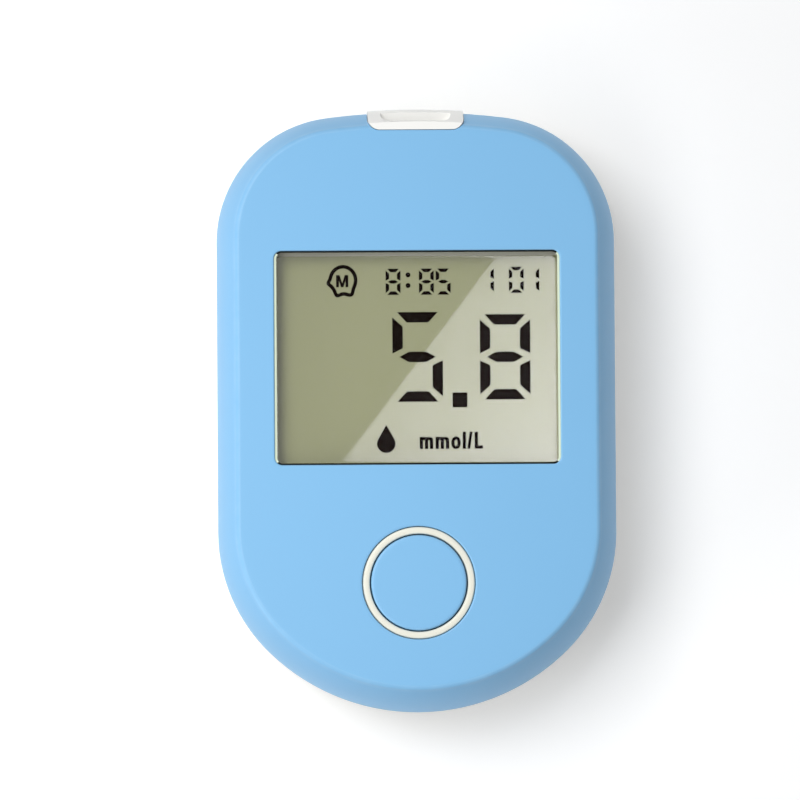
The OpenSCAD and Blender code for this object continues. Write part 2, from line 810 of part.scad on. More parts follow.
// Bars a to g of a seven-segment figure, by the usual letters. The outer bars
// are mitred at the corners and the middle bar is pointed.
module figure_bars(bars, w, h, stroke) {
    corner_x = w / 2 - 0.47 * stroke;
    corner_y = h / 2 - 0.5 * stroke;
    waist = 0.34 * stroke;
    tip_x = w / 2 - 0.68 * stroke;
    mitre = 0.92 * stroke;
    inner_x = w / 2 - stroke;
    inner_y = h / 2 - stroke;
    flat = [[-corner_x, h / 2], [corner_x, h / 2], [corner_x - mitre, inner_y], [mitre - corner_x, inner_y]];
    upright = [
        [w / 2, corner_y], [w / 2, waist],
        [inner_x, waist + stroke / 2], [inner_x, corner_y - mitre]
    ];
    middle = [
        [-tip_x, 0], [mitre - tip_x, stroke / 2], [tip_x - mitre, stroke / 2],
        [tip_x, 0], [tip_x - mitre, -stroke / 2], [mitre - tip_x, -stroke / 2]
    ];
    places = [
        ["a", flat, 1, 1], ["d", flat, 1, -1], ["g", middle, 1, 1], ["b", upright, 1, 1],
        ["c", upright, 1, -1], ["f", upright, -1, 1], ["e", upright, -1, -1]
    ];
    for (p = places)
        if (len(search(p[0], bars)) > 0)
            scale([p[2], p[3]]) polygon(p[1]);
}

// Places on the display are measured from the window's middle
module lcd_segments() color(black)
    translate([0, window_cy, segment_z]) linear_extrude(seal_t) {
        for (f = large_figures)
            translate([f[0], f[1]]) figure_bars(f[2], digit_w, digit_h * f[3], digit_stroke);
        for (f = small_figures)
            translate([f[0], f[1]]) figure_bars(f[2], small_digit_w, small_digit_h, small_digit_stroke);
        translate(point_at) square(point_w, center = true);
        for (y = colon_y) translate([colon_x, y]) circle(d = colon_d, $fn = 24);
        translate(drop_at) drop_shape(drop_r, drop_h);
    }

// A drop: a disc under two straight sides that meet in a point
module drop_shape(r, h) {
    tip = h - r;
    touch = asin(r / tip);
    circle(r, $fn = 32);
    polygon([[-r * cos(touch), r * sin(touch)], [0, tip], [r * cos(touch), r * sin(touch)], [0, 0]]);
}

module lcd_frame() color(plastic_white) difference() {
    plate_box(frame_w, frame_h, frame_top_z - board_top - face_fit, board_top + face_fit);
    plate_box(lcd_w + 2 * fit, lcd_h + 2 * fit, frame_top_z, reflector_z - face_fit);
    plate_box(lcd_w - 2 * frame_ledge_w, lcd_h + 2 * fit, frame_top_z, board_top - over);
    for (side = [-1, 1])
        translate([0, window_cy + side * (lcd_h / 2 - glass_ledge / 2), board_top - over])
            linear_extrude(zebra_h + over)
                square([zebra_l + 2 * fit, glass_ledge + 2 * fit], center = true);
}

module zebra_strips() color(black)
    for (side = [-1, 1])
        translate([
            -zebra_l / 2, window_cy + side * (lcd_h / 2 - glass_ledge / 2) - zebra_t / 2, board_top + face_fit
        ])
            cube([zebra_l, zebra_t, zebra_h - 2 * face_fit]);

// ---- board ----

module board_plan() {
    translate([-board_w / 2, board_low_y]) square([board_w, board_high_y - board_low_y]);
    translate([-board_tongue_w / 2, board_end_y]) square([board_tongue_w, board_top_y - board_end_y]);
}

module main_board() color([0.1, 0.4, 0.2]) difference() {
    translate([0, 0, board_z]) linear_extrude(board_t) board_plan();
    for (p = board_screw_xy)
        translate([p[0], p[1], board_z - over])
            cylinder(d = board_screw_d + 2 * shank_gap, h = board_t + 2 * over, $fn = 32);
    for (side = [-1, 1])
        translate([side * cell_x - tab_w / 2 - fit, bay_top_y - contact_t - 2 * fit, board_z - over])
            cube([tab_w + 2 * fit, contact_t + 3 * fit, board_t + 2 * over]);
}

// A moulded chip under the board, with rows of leads along its two long sides
module chip_under(at, w, l, leads) {
    lead_pitch = (l - 2 * lead_margin) / (leads - 1);
    translate([at[0], at[1], board_z]) {
        color(black) translate([-w / 2, -l / 2, -chip_h - part_gap]) cube([w, l, chip_h]);
        color(steel) for (side = [-1, 1], i = [0:leads - 1])
            translate([side * (w + lead_reach) / 2, (i - (leads - 1) / 2) * lead_pitch, 0])
                translate([-lead_reach / 2, -lead_w / 2, -chip_h / 2 - part_gap])
                    cube([lead_reach, lead_w, chip_h / 2 + part_gap - face_fit]);
    }
}

module processor() union() chip_under(processor_at, processor_w, processor_w, processor_leads);

module signal_chip() union() chip_under(signal_chip_at, small_chip_w, small_chip_l, small_chip_leads);

module memory_chip() union() chip_under(memory_chip_at, small_chip_w, small_chip_l, small_chip_leads);

// A can that lies under the board, with two leads bent up to their pads
module clock_crystal() color(steel) translate([crystal_at[0], crystal_at[1], board_z]) {
    axis_z = -crystal_d / 2 - part_gap;
    translate([0, 0, axis_z]) rotate([0, 90, 0]) cylinder(d = crystal_d, h = crystal_l);
    for (side = [-1, 1])
        translate([
            -crystal_lead_l, side * crystal_lead_y - crystal_lead_w / 2, axis_z - crystal_lead_w / 2
        ]) {
            cube([crystal_lead_l + crystal_lead_w, crystal_lead_w, crystal_lead_w]);
            cube([crystal_lead_w, crystal_lead_w, crystal_lead_w / 2 - axis_z - face_fit]);
        }
}

module buzzer() color(black) difference() {
    translate([buzzer_at[0] - buzzer_w / 2, buzzer_at[1] - buzzer_w / 2, board_z - buzzer_h - face_fit])
        cube([buzzer_w, buzzer_w, buzzer_h]);
    translate([buzzer_at[0], buzzer_at[1], board_z - buzzer_h - over])
        cylinder(d = buzzer_port_d, h = buzzer_port_d, $fn = 32);
}

// Small resistors and capacitors in two groups
module board_parts() color([0.55, 0.45, 0.35])
    for (at = [right_parts_at, left_parts_at], column = [0, 1], row = [0:part_rows - 1])
        translate([at[0] + column * part_column, at[1] + row * part_row, board_z - part_h])
            cube([part_l, part_w, part_h - face_fit]);

// ---- button and switch ----

module button_ring() color(cream) translate([0, button_y, 0]) difference() {
    union() {
        translate([0, 0, ring_bottom_z])
            cylinder(d = ring_d, h = body_h - ring_recess - ring_bottom_z);
        translate([0, 0, ring_bottom_z])
            cylinder(d = ring_d + 2 * ring_flange_w, h = ring_flange_t);
    }
    translate([0, 0, ring_bottom_z - over])
        cylinder(d = ring_bore_d, h = body_h);
}

module button_cap() color(plastic_blue) translate([0, button_y, 0]) {
    difference() {
        union() {
            translate([0, 0, cap_flange_z])
                cylinder(d = button_d, h = cap_top_z - cap_flange_z);
            translate([0, 0, cap_flange_z])
                cylinder(d = button_d + 2 * cap_flange_w, h = cap_flange_t);
        }
        translate([0, 0, cap_flange_z - over])
            cylinder(d = button_d - 2 * cap_skirt_t, h = cap_top_z - button_top_t - cap_flange_z + over);
    }
    translate([0, 0, plunger_top_z + face_fit])
        cylinder(d = cap_post_d, h = cap_top_z - button_top_t / 2 - plunger_top_z);
}

module switch_base() color(black) translate([0, button_y, board_top + face_fit]) difference() {
    translate([-switch_w / 2, -switch_w / 2, 0]) cube([switch_w, switch_w, switch_base_h - face_fit]);
    translate([0, 0, dome_z - board_top - face_fit])
        cylinder(d = dome_d + 4 * fit, h = switch_base_h, $fn = 64);
}

module switch_plate() color(steel) translate([0, button_y, switch_plate_z + face_fit]) difference() {
    translate([-switch_w / 2, -switch_w / 2, 0]) cube([switch_w, switch_w, switch_plate_t]);
    translate([0, 0, -over]) cylinder(d = plunger_d + 2 * fit, h = switch_plate_t + 2 * over, $fn = 64);
}

// Snap dome: a thin crowned disc
module switch_dome() color(steel) {
    r = (dome_d * dome_d / 4 + dome_h * dome_h) / (2 * dome_h);
    turn = asin(dome_d / 2 / r);
    outer = arc_points(0, dome_h - r, r, 90, 90 - turn, 6);
    inner = arc_points(0, dome_h - r, r - dome_t, 90 - turn, 90, 6);
    translate([0, button_y, dome_z + face_fit]) intersection() {
        rotate_extrude($fn = 64) polygon(concat(outer, inner));
        cylinder(d = 2 * dome_d, h = dome_h);
    }
}

module switch_plunger() color(black) translate([0, button_y, 0]) {
    translate([0, 0, plunger_foot_z]) cylinder(d = plunger_foot_d, h = plunger_foot_t, $fn = 64);
    translate([0, 0, plunger_foot_z]) cylinder(d = plunger_d, h = plunger_top_z - plunger_foot_z, $fn = 64);
}

module switch_pins() color(steel)
    for (x = [-1, 1], y = [-1, 1])
        translate([x * (switch_w / 2 + face_fit), button_y + y * pin_y - pin_w / 2, board_top + face_fit])
            mirror([x < 0 ? 1 : 0, 0, 0]) union() {
                cube([pin_reach, pin_w, pin_t]);
                cube([pin_t, pin_w, pin_h]);
            }

// ---- cells and contacts ----

// side is +1 for the cell whose cap points to the strip end, -1 for the other
function cell_base_y(side) = side > 0
    ? bay_end_y + contact_t + spring_l + end_gap
    : bay_top_y - contact_t - spring_l - end_gap;

module cell(side)
    translate([side * cell_x, cell_base_y(side), cell_z]) rotate([-90 * side, 0, 0]) {
        cylinder(d = cell_d - 2 * jacket_t, h = cell_l - cell_shoulder);
        cylinder(d = cell_d - 2 * cell_shoulder_w, h = cell_l);
        cylinder(d = cap_d, h = cell_l + cap_h, $fn = 48);
    }

module cell_left() color(steel) cell(-1);

module cell_right() color(steel) cell(1);

module cell_jackets() color([0.3, 0.32, 0.35])
    for (side = [-1, 1])
        translate([side * cell_x, cell_base_y(side) + side * jacket_margin, cell_z])
            rotate([-90 * side, 0, 0])
                tube(cell_d, cell_d - 2 * jacket_t + 2 * face_fit, cell_l - 2 * jacket_margin);

// A conical wire spring that stands on z = 0, with rings of a six-sided wire
function spring_centre(t) = let (
    a = 360 * spring_turns * t,
    r = spring_base_r + (spring_tip_r - spring_base_r) * t
) [r * cos(a), r * sin(a), wire_d / 2 + spring_rise * t];

function spring_ring(t) = let (c = spring_centre(t), a = 360 * spring_turns * t)
    [for (i = [0:wire_sides - 1]) let (b = 360 * i / wire_sides)
        c + wire_d / 2 * [cos(b) * cos(a), cos(b) * sin(a), sin(b)]];

module wire_spring() {
    n = spring_turns * spring_steps;
    points = [for (k = [0:n]) each spring_ring(k / n)];
    sides = [for (k = [0:n - 1], i = [0:wire_sides - 1]) let (
        a = k * wire_sides + i,
        b = k * wire_sides + (i + 1) % wire_sides
    ) each [[a, b, b + wire_sides], [a, b + wire_sides, a + wire_sides]]];
    ends = [for (i = [1:wire_sides - 2]) each [
        [0, i + 1, i],
        [n * wire_sides, n * wire_sides + i, n * wire_sides + i + 1]
    ]];
    polyhedron(points = points, faces = concat(sides, ends));
}

// Least gap between neighbouring turns, measured centre to centre
spring_gap = min([for (k = [0:(spring_turns - 1) * spring_steps])
    norm(spring_centre(k / (spring_turns * spring_steps))
        - spring_centre((k + spring_steps) / (spring_turns * spring_steps)))]) - wire_d;
echo(spring_gap = spring_gap);

module battery_springs() color(steel) {
    for (side = [-1, 1])
        translate([side * cell_x, spring_seat_y(side), cell_z]) rotate([-90 * side, 0, 0]) wire_spring();
}

function spring_seat_y(side) = side > 0
    ? bay_end_y + face_fit + contact_t
    : bay_top_y - face_fit - contact_t;

// Two plates at the strip end, each with a tab up through the board
module terminal_plates() color(steel)
    for (side = [-1, 1])
        translate([side * cell_x, bay_top_y - contact_t - face_fit, 0]) {
            translate([-contact_plate_w / 2, 0, cell_z - contact_plate_h / 2])
                cube([contact_plate_w, contact_t, contact_plate_h]);
            translate([-tab_w / 2, 0, cell_z])
                cube([tab_w, contact_t, board_top + tab_reach - cell_z]);
        }

module bridge_plate() color(steel)
    translate([-cell_x - contact_plate_w / 2, bay_end_y + face_fit, cell_z - contact_plate_h / 2])
        cube([2 * cell_x + contact_plate_w, contact_t, contact_plate_h]);

// ---- screws ----

// A screw that points up, its head's underside at z = 0, with a cross recess
module screw(d, l, head_d, head_h) difference() {
    union() {
        translate([0, 0, -head_h]) cylinder(d = head_d, h = head_h, $fn = 48);
        cylinder(d = d, h = l, $fn = 32);
    }
    for (a = [0, 90]) rotate([0, 0, a])
        translate([-head_d * recess_share / 2, -recess_w / 2, -head_h - over])
            cube([head_d * recess_share, recess_w, over + head_h / 2]);
}

module cover_screws() color(steel)
    for (p = cover_screw_xy) translate([p[0], p[1], screw_seat_z - face_fit])
        screw(cover_screw_d, cover_screw_tip - screw_seat_z, cover_head_d, screw_head_h);

module board_screws() color(steel)
    for (p = board_screw_xy) translate([p[0], p[1], board_z - face_fit])
        screw(board_screw_d, board_t + board_screw_l - board_screw_short, board_head_d, board_head_h);

front_cover();
rear_cover();
battery_door();
port_insert();
button_ring();
display_window();
window_tape();
front_polariser();
lcd_front_glass();
lcd_segments();
lcd_seal();
lcd_rear_glass();
lcd_reflector();
lcd_frame();
zebra_strips();
main_board();
strip_connector();
strip_contacts();
processor();
signal_chip();
memory_chip();
clock_crystal();
buzzer();
board_parts();
switch_base();
switch_plate();
switch_dome();
switch_plunger();
switch_pins();
button_cap();
cell_left();
cell_right();
cell_jackets();
battery_springs();
terminal_plates();
bridge_plate();
cover_screws();
board_screws();
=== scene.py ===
"""Looks of a hand-held blood glucose meter: blue moulded case, glazed segment display,
ringed button, white strip port and sliding battery door. The meter lies on its back,
display up and strip port towards +Y. Lengths in this file are millimetres until they
become vertices."""

import math

import bmesh
import bpy
from mathutils import Matrix, Vector


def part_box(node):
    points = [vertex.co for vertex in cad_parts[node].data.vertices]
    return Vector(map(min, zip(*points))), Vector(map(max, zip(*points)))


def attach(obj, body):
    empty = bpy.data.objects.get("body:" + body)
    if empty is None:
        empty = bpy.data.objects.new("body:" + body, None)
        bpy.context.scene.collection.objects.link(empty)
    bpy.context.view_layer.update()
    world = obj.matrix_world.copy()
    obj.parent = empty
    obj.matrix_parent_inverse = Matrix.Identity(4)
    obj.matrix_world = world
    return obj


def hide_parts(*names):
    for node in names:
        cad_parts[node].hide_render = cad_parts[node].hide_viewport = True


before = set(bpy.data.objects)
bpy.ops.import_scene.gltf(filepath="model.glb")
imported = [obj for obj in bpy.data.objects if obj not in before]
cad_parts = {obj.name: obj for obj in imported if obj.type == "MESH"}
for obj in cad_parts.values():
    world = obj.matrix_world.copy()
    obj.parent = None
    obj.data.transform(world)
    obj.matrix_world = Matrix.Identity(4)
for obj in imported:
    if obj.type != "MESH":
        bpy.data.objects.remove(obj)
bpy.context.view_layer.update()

MM = 0.001

# ---- measures of the case ----

CASE_W = 58.0
CASE_TOP_Y = 43.6
CASE_END_Y = -44.0
CROWN_ANGLE = 7.2
TOP_CORNER_R = 18.3
END_ANGLE = 44.7
LOW_CORNER_R = 24.5
PARTING_Z = 9.5
FACE_Z = 21.0
FACE_UNDER_Z = 19.4
WALL = 1.8
FACE_INSET = 2.84
CREASE_R = 0.8
SEAM_DEPTH = 0.5
SEAM_HALF = 0.3
EDGE_R = 0.2

TOP_CX = CASE_W / 2 - TOP_CORNER_R
LOW_CX = CASE_W / 2 - LOW_CORNER_R
CROWN_R = TOP_CORNER_R + TOP_CX / math.sin(math.radians(CROWN_ANGLE))
CROWN_CY = CASE_TOP_Y - CROWN_R
TOP_CY = CROWN_CY + (CROWN_R - TOP_CORNER_R) * math.cos(math.radians(CROWN_ANGLE))
END_R = LOW_CORNER_R + LOW_CX / math.sin(math.radians(END_ANGLE))
END_CY = CASE_END_Y + END_R
LOW_CY = END_CY - (END_R - LOW_CORNER_R) * math.cos(math.radians(END_ANGLE))
RISE = FACE_Z - PARTING_Z
SIDE_R = (FACE_INSET ** 2 + RISE ** 2) / (2 * FACE_INSET)

# ---- window, display, button and port ----

WINDOW_CY = 6.8956
OPENING_W = 41.4
OPENING_H = 31.1
OPENING_R = 1.1
WINDOW_TOP_Z = 20.75
FLANGE_Z = 18.2
FLANGE_T = 0.98
FLANGE_W = 1.7
SEGMENT_Z = 17.05
SEGMENT_T = 0.05
FIGURE_LOW = SEGMENT_Z + 0.005
FIGURE_HIGH = SEGMENT_Z + SEGMENT_T - 0.005
PANE_GAP_X = 0.34
PANE_GAP_Y = 0.26
FRONT_GLASS = (44.0, 34.5, 17.1, 17.8)
FRONT_FILM = (42.2, 31.9, 18.0)
BUTTON_Y = -25.7967
CAP_R = 6.9
CAP_TOP_Z = 21.1
RING_R = 8.1
RING_BORE_R = 7.1
RING_TOP_Z = 20.88
PORT_W = 13.9
PORT_INNER_Y = 40.05
PORT_CORNER_R = 1.7
PORT_BACK_Y = 39.7
PORT_POCKET = 3.0
INSERT_GAP = 0.1
FLAT_TOP = 0.002
CORNER_STEPS = 10
SIDE_STEPS = 12
ROUND_STEPS = 128

# ---- depth of the finishes' relief, in metres ----

PLASTIC_PITS = 0.00004
PRINTED_RELIEF = 0.00003
FINE_LINES = 0.00002

# ---- stage: light levels, glare card (its height and fade in metres) and camera ----

PAPER_DROP = 0.02
FLOOR_GLOW = 0.23
AMBIENT = 0.3
GLARE_CARD_Z = 0.5
GLARE_NEAR = 3.2
GLARE_FAR = 5.6
GLARE_FADE = 0.032
GLARE_CORNERS = ((14.24, 18.34), (-13.11, -17.87), (26, -17.87), (26, 18.34))
PICTURE_SIDE = 800
PIXELS_PER_MM = 6.861
OFF_CENTRE = (16.4, 12.2)
LEAN_LEFT = 0.9
LEAN_FRONT = 4.5
ROLL = 0.386
CAMERA_AWAY = 1600.0
SENSOR_W = 36.0


# ---- shader groups shared by several finishes ----

def new_group(name, inputs, outputs):
    """An empty shader group with named sockets, and its two end nodes."""
    group = bpy.data.node_groups.new(name, "ShaderNodeTree")
    for label, kind, value in inputs:
        socket = group.interface.new_socket(label, in_out="INPUT", socket_type="NodeSocket" + kind)
        socket.default_value = value
    for label, kind in outputs:
        group.interface.new_socket(label, in_out="OUTPUT", socket_type="NodeSocket" + kind)
    return group, group.nodes.new("NodeGroupInput"), group.nodes.new("NodeGroupOutput")


def add_math(tree, operation, first, second, clamp=False):
    """A Math node; each operand is a number or an output socket."""
    node = tree.nodes.new("ShaderNodeMath")
    node.operation = operation
    node.use_clamp = clamp
    for slot, operand in enumerate((first, second)):
        if isinstance(operand, (int, float)):
            node.inputs[slot].default_value = operand
        else:
            tree.links.new(operand, node.inputs[slot])
    return node.outputs[0]


def add_noise(tree, scale, detail, place):
    """A 3-D noise value; scale is per metre, as a number or a socket."""
    node = tree.nodes.new("ShaderNodeTexNoise")
    node.inputs["Detail"].default_value = detail
    if isinstance(scale, (int, float)):
        node.inputs["Scale"].default_value = scale
    else:
        tree.links.new(scale, node.inputs["Scale"])
    tree.links.new(place, node.inputs["Vector"])
    return node.outputs[0]


def add_mix(tree, factor, first, second, blend="MIX"):
    """A colour mix; each operand is a colour or an output socket."""
    node = tree.nodes.new("ShaderNodeMix")
    node.data_type = "RGBA"
    node.blend_type = blend
    sockets = (node.inputs[0], node.inputs[6], node.inputs[7])
    for socket, operand in zip(sockets, (factor, first, second)):
        if isinstance(operand, bpy.types.NodeSocket):
            tree.links.new(operand, socket)
        else:
            socket.default_value = operand
    return node.outputs[2]


def build_moulded_skin():
    """Eroded mould texture: fine pits, slow colour mottle and uneven gloss."""
    group, start, end = new_group(
        "moulded_skin",
        [("Colour", "Color", (0.8, 0.8, 0.8, 1)), ("Pits per metre", "Float", 5200.0),
         ("Mottle", "Float", 0.03), ("Roughness", "Float", 0.45), ("Gloss spread", "Float", 0.06)],
        [("Colour", "Color"), ("Roughness", "Float"), ("Height", "Float")])
    place = group.nodes.new("ShaderNodeTexCoord").outputs["Object"]
    pits = add_noise(group, start.outputs["Pits per metre"], 2.0, place)
    coarse_scale = add_math(group, "MULTIPLY", start.outputs["Pits per metre"], 0.31)
    coarse = add_noise(group, coarse_scale, 1.0, place)
    slow = add_noise(group, 85.0, 3.0, place)
    height = add_math(group, "ADD", pits, add_math(group, "MULTIPLY", coarse, 0.7))
    shade = add_math(group, "SUBTRACT", slow, 0.5)
    fleck = add_math(group, "MULTIPLY", add_math(group, "SUBTRACT", pits, 0.5), 0.5)
    shade = add_math(group, "ADD", shade, fleck)
    level = add_math(group, "ADD", 1.0, add_math(group, "MULTIPLY", shade, start.outputs["Mottle"]))
    grey = group.nodes.new("ShaderNodeCombineColor")
    for channel in range(3):
        group.links.new(level, grey.inputs[channel])
    colour = add_mix(group, 1.0, start.outputs["Colour"], grey.outputs[0], "MULTIPLY")
    gloss = add_math(group, "MULTIPLY", shade, start.outputs["Gloss spread"])
    rough = add_math(group, "ADD", start.outputs["Roughness"], gloss, clamp=True)
    group.links.new(colour, end.inputs["Colour"])
    group.links.new(rough, end.inputs["Roughness"])
    group.links.new(height, end.inputs["Height"])
    return group


def build_handled_edges():
    """Outer edges rubbed a little paler and smoother, with broken-up limits. Where
    they lie is painted on the piece's points as the value rubbed."""
    group, start, end = new_group(
        "handled_edges",
        [("Colour", "Color", (0.8, 0.8, 0.8, 1)), ("Rubbed colour", "Color", (1, 1, 1, 1)),
         ("Roughness", "Float", 0.45), ("Rubbed roughness", "Float", 0.35),
         ("Amount", "Float", 0.3)],
        [("Colour", "Color"), ("Roughness", "Float")])
    place = group.nodes.new("ShaderNodeTexCoord").outputs["Object"]
    edge = group.nodes.new("ShaderNodeAttribute")
    edge.attribute_name = "rubbed"
    patch = group.nodes.new("ShaderNodeMapRange")
    patch.inputs["From Min"].default_value = 0.05
    patch.inputs["From Max"].default_value = 0.75
    group.links.new(add_noise(group, 420.0, 3.0, place), patch.inputs["Value"])
    mask = add_math(group, "MULTIPLY", edge.outputs["Fac"], patch.outputs[0])
    mask = add_math(group, "MULTIPLY", mask, start.outputs["Amount"], clamp=True)
    colour = add_mix(group, mask, start.outputs["Colour"], start.outputs["Rubbed colour"])
    start_rough, rubbed_rough = start.outputs["Roughness"], start.outputs["Rubbed roughness"]
    drop = add_math(group, "SUBTRACT", rubbed_rough, start_rough)
    change = add_math(group, "MULTIPLY", drop, mask)
    group.links.new(colour, end.inputs["Colour"])
    group.links.new(add_math(group, "ADD", start_rough, change), end.inputs["Roughness"])
    return group


def build_drawn_metal():
    """Rolled or drawn metal: long fine draw lines along one axis and a cloudy tarnish."""
    group, start, end = new_group(
        "drawn_metal",
        [("Colour", "Color", (0.8, 0.8, 0.8, 1)), ("Tarnish colour", "Color", (0.4, 0.38, 0.35, 1)),
         ("Lines per metre", "Float", 9000.0), ("Stretch", "Vector", (1.0, 0.04, 1.0)),
         ("Roughness", "Float", 0.3), ("Tarnish", "Float", 0.15)],
        [("Colour", "Color"), ("Roughness", "Float"), ("Height", "Float")])
    place = group.nodes.new("ShaderNodeTexCoord").outputs["Object"]
    pull = group.nodes.new("ShaderNodeVectorMath")
    pull.operation = "MULTIPLY"
    group.links.new(place, pull.inputs[0])
    group.links.new(start.outputs["Stretch"], pull.inputs[1])
    lines = add_noise(group, start.outputs["Lines per metre"], 2.0, pull.outputs[0])
    cloud = add_noise(group, 500.0, 4.0, place)
    stain = add_math(group, "MULTIPLY", cloud, start.outputs["Tarnish"], clamp=True)
    colour = add_mix(group, stain, start.outputs["Colour"], start.outputs["Tarnish colour"])
    spread = add_math(group, "MULTIPLY", add_math(group, "SUBTRACT", lines, 0.5), 0.3)
    change = add_math(group, "ADD", spread, stain)
    rough = add_math(group, "ADD", start.outputs["Roughness"], change, clamp=True)
    group.links.new(colour, end.inputs["Colour"])
    group.links.new(rough, end.inputs["Roughness"])
    group.links.new(lines, end.inputs["Height"])
    return group


MOULDED_SKIN = build_moulded_skin()
HANDLED_EDGES = build_handled_edges()
DRAWN_METAL = build_drawn_metal()


# ---- finishes ----

def tint(red, green, blue):
    """A display colour of 0 to 255 a channel, as the linear colour a shader takes."""
    channels = []
    for value in (red, green, blue):
        share = value / 255
        channels.append(share / 12.92 if share <= 0.04045 else ((share + 0.055) / 1.055) ** 2.4)
    return (*channels, 1.0)


def new_finish(name):
    """A material with its node tree and its Principled shader."""
    finish = bpy.data.materials.new(name)
    finish.use_nodes = True
    return finish, finish.node_tree, finish.node_tree.nodes["Principled BSDF"]


def place_group(tree, group, **values):
    """A shader group in a material, its sockets set by name with _ for a space."""
    node = tree.nodes.new("ShaderNodeGroup")
    node.node_tree = group
    for label, value in values.items():
        socket = node.inputs[label.replace("_", " ")]
        if isinstance(value, bpy.types.NodeSocket):
            tree.links.new(value, socket)
        else:
            socket.default_value = value
    return node


def add_bump(tree, shader, height, strength, depth):
    """Turns a height into the shader's normal; depth in metres."""
    bump = tree.nodes.new("ShaderNodeBump")
    bump.inputs["Strength"].default_value = strength
    bump.inputs["Distance"].default_value = depth
    tree.links.new(height, bump.inputs["Height"])
    tree.links.new(bump.outputs["Normal"], shader.inputs["Normal"])


def moulded_plastic(name, colour, rubbed, roughness, pits=5200.0, mottle=0.03,
                    wear=0.3, strength=0.12, specular=0.5):
    """Textured moulded plastic with edges that hands have rubbed."""
    finish, tree, shader = new_finish(name)
    skin = place_group(tree, MOULDED_SKIN, Colour=colour, Pits_per_metre=pits, Mottle=mottle,
                       Roughness=roughness)
    edges = place_group(tree, HANDLED_EDGES, Colour=skin.outputs["Colour"], Rubbed_colour=rubbed,
                        Roughness=skin.outputs["Roughness"], Rubbed_roughness=roughness - 0.1,
                        Amount=wear)
    tree.links.new(edges.outputs["Colour"], shader.inputs["Base Color"])
    tree.links.new(edges.outputs["Roughness"], shader.inputs["Roughness"])
    shader.inputs["Specular IOR Level"].default_value = specular
    add_bump(tree, shader, skin.outputs["Height"], strength, PLASTIC_PITS)
    return finish


def plain_metal(name, colour, tarnish_colour, roughness, stretch=(1.0, 0.04, 1.0), tarnish=0.15):
    """Bare or plated metal with draw lines."""
    finish, tree, shader = new_finish(name)
    metal = place_group(tree, DRAWN_METAL, Colour=colour, Tarnish_colour=tarnish_colour,
                        Stretch=stretch, Roughness=roughness, Tarnish=tarnish)
    tree.links.new(metal.outputs["Colour"], shader.inputs["Base Color"])
    tree.links.new(metal.outputs["Roughness"], shader.inputs["Roughness"])
    shader.inputs["Metallic"].default_value = 1.0
    add_bump(tree, shader, metal.outputs["Height"], 0.08, FINE_LINES)
    return finish


def mix_shaders(tree, factor, first, second, output):
    """Shows the first shader where factor is 0 and the second where it is 1."""
    mix = tree.nodes.new("ShaderNodeMixShader")
    for socket, source in zip(mix.inputs, (factor, first.outputs[0], second.outputs[0])):
        tree.links.new(source, socket)
    tree.links.new(mix.outputs[0], tree.nodes[output].inputs["Surface"])


def blank_rays(tree):
    """1 for shadow and diffuse rays, so that light goes straight through a clear piece."""
    path = tree.nodes.new("ShaderNodeLightPath")
    return add_math(tree, "MAXIMUM", path.outputs["Is Shadow Ray"], path.outputs["Is Diffuse Ray"])


def clear_plastic(name, ior):
    """Polished clear plastic that throws no dark shadow on what lies under it."""
    finish, tree, shader = new_finish(name)
    skin = place_group(tree, MOULDED_SKIN, Colour=(1, 1, 1, 1), Pits_per_metre=300.0, Mottle=0.0,
                       Roughness=0.004, Gloss_spread=0.004)
    tree.links.new(skin.outputs["Roughness"], shader.inputs["Roughness"])
    shader.inputs["Base Color"].default_value = (1, 1, 1, 1)
    shader.inputs["Transmission Weight"].default_value = 1.0
    shader.inputs["IOR"].default_value = ior
    through = tree.nodes.new("ShaderNodeBsdfTransparent")
    mix_shaders(tree, blank_rays(tree), shader, through, "Material Output")
    return finish


def clear_film(name, colour, roughness, cover):
    """A thin clear layer seen mostly through: cover is its share of the surface."""
    finish, tree, shader = new_finish(name)
    skin = place_group(tree, MOULDED_SKIN, Colour=colour, Pits_per_metre=900.0, Mottle=0.04,
                       Roughness=roughness, Gloss_spread=0.04)
    tree.links.new(skin.outputs["Colour"], shader.inputs["Base Color"])
    tree.links.new(skin.outputs["Roughness"], shader.inputs["Roughness"])
    shader.inputs["Alpha"].default_value = cover
    return finish


def circuit_board_finish():
    """Green solder mask over copper tracks, with tinned pads showing through."""
    finish, tree, shader = new_finish("solder_mask_green")
    place = tree.nodes.new("ShaderNodeTexCoord").outputs["Object"]
    tracks = tree.nodes.new("ShaderNodeTexBrick")
    tracks.inputs["Scale"].default_value = 420.0
    tracks.inputs["Mortar Size"].default_value = 0.06
    tracks.inputs["Brick Width"].default_value = 1.3
    tracks.inputs["Row Height"].default_value = 0.42
    tree.links.new(place, tracks.inputs["Vector"])
    pads = tree.nodes.new("ShaderNodeTexVoronoi")
    pads.inputs["Scale"].default_value = 380.0
    pads.inputs["Randomness"].default_value = 0.55
    tree.links.new(place, pads.inputs["Vector"])
    pad_radius = 0.13
    pad_mask = add_math(tree, "LESS_THAN", pads.outputs["Distance"], pad_radius)
    green = add_mix(tree, tracks.outputs["Fac"], tint(24, 82, 48), tint(42, 112, 66))
    colour = add_mix(tree, pad_mask, green, tint(196, 190, 168))
    tree.links.new(colour, shader.inputs["Base Color"])
    skin = place_group(tree, MOULDED_SKIN, Pits_per_metre=3000.0, Roughness=0.3, Gloss_spread=0.1)
    tree.links.new(skin.outputs["Roughness"], shader.inputs["Roughness"])
    tree.links.new(pad_mask, shader.inputs["Metallic"])
    height = add_math(tree, "ADD", tracks.outputs["Fac"], skin.outputs["Height"])
    add_bump(tree, shader, height, 0.3, PRINTED_RELIEF)
    return finish


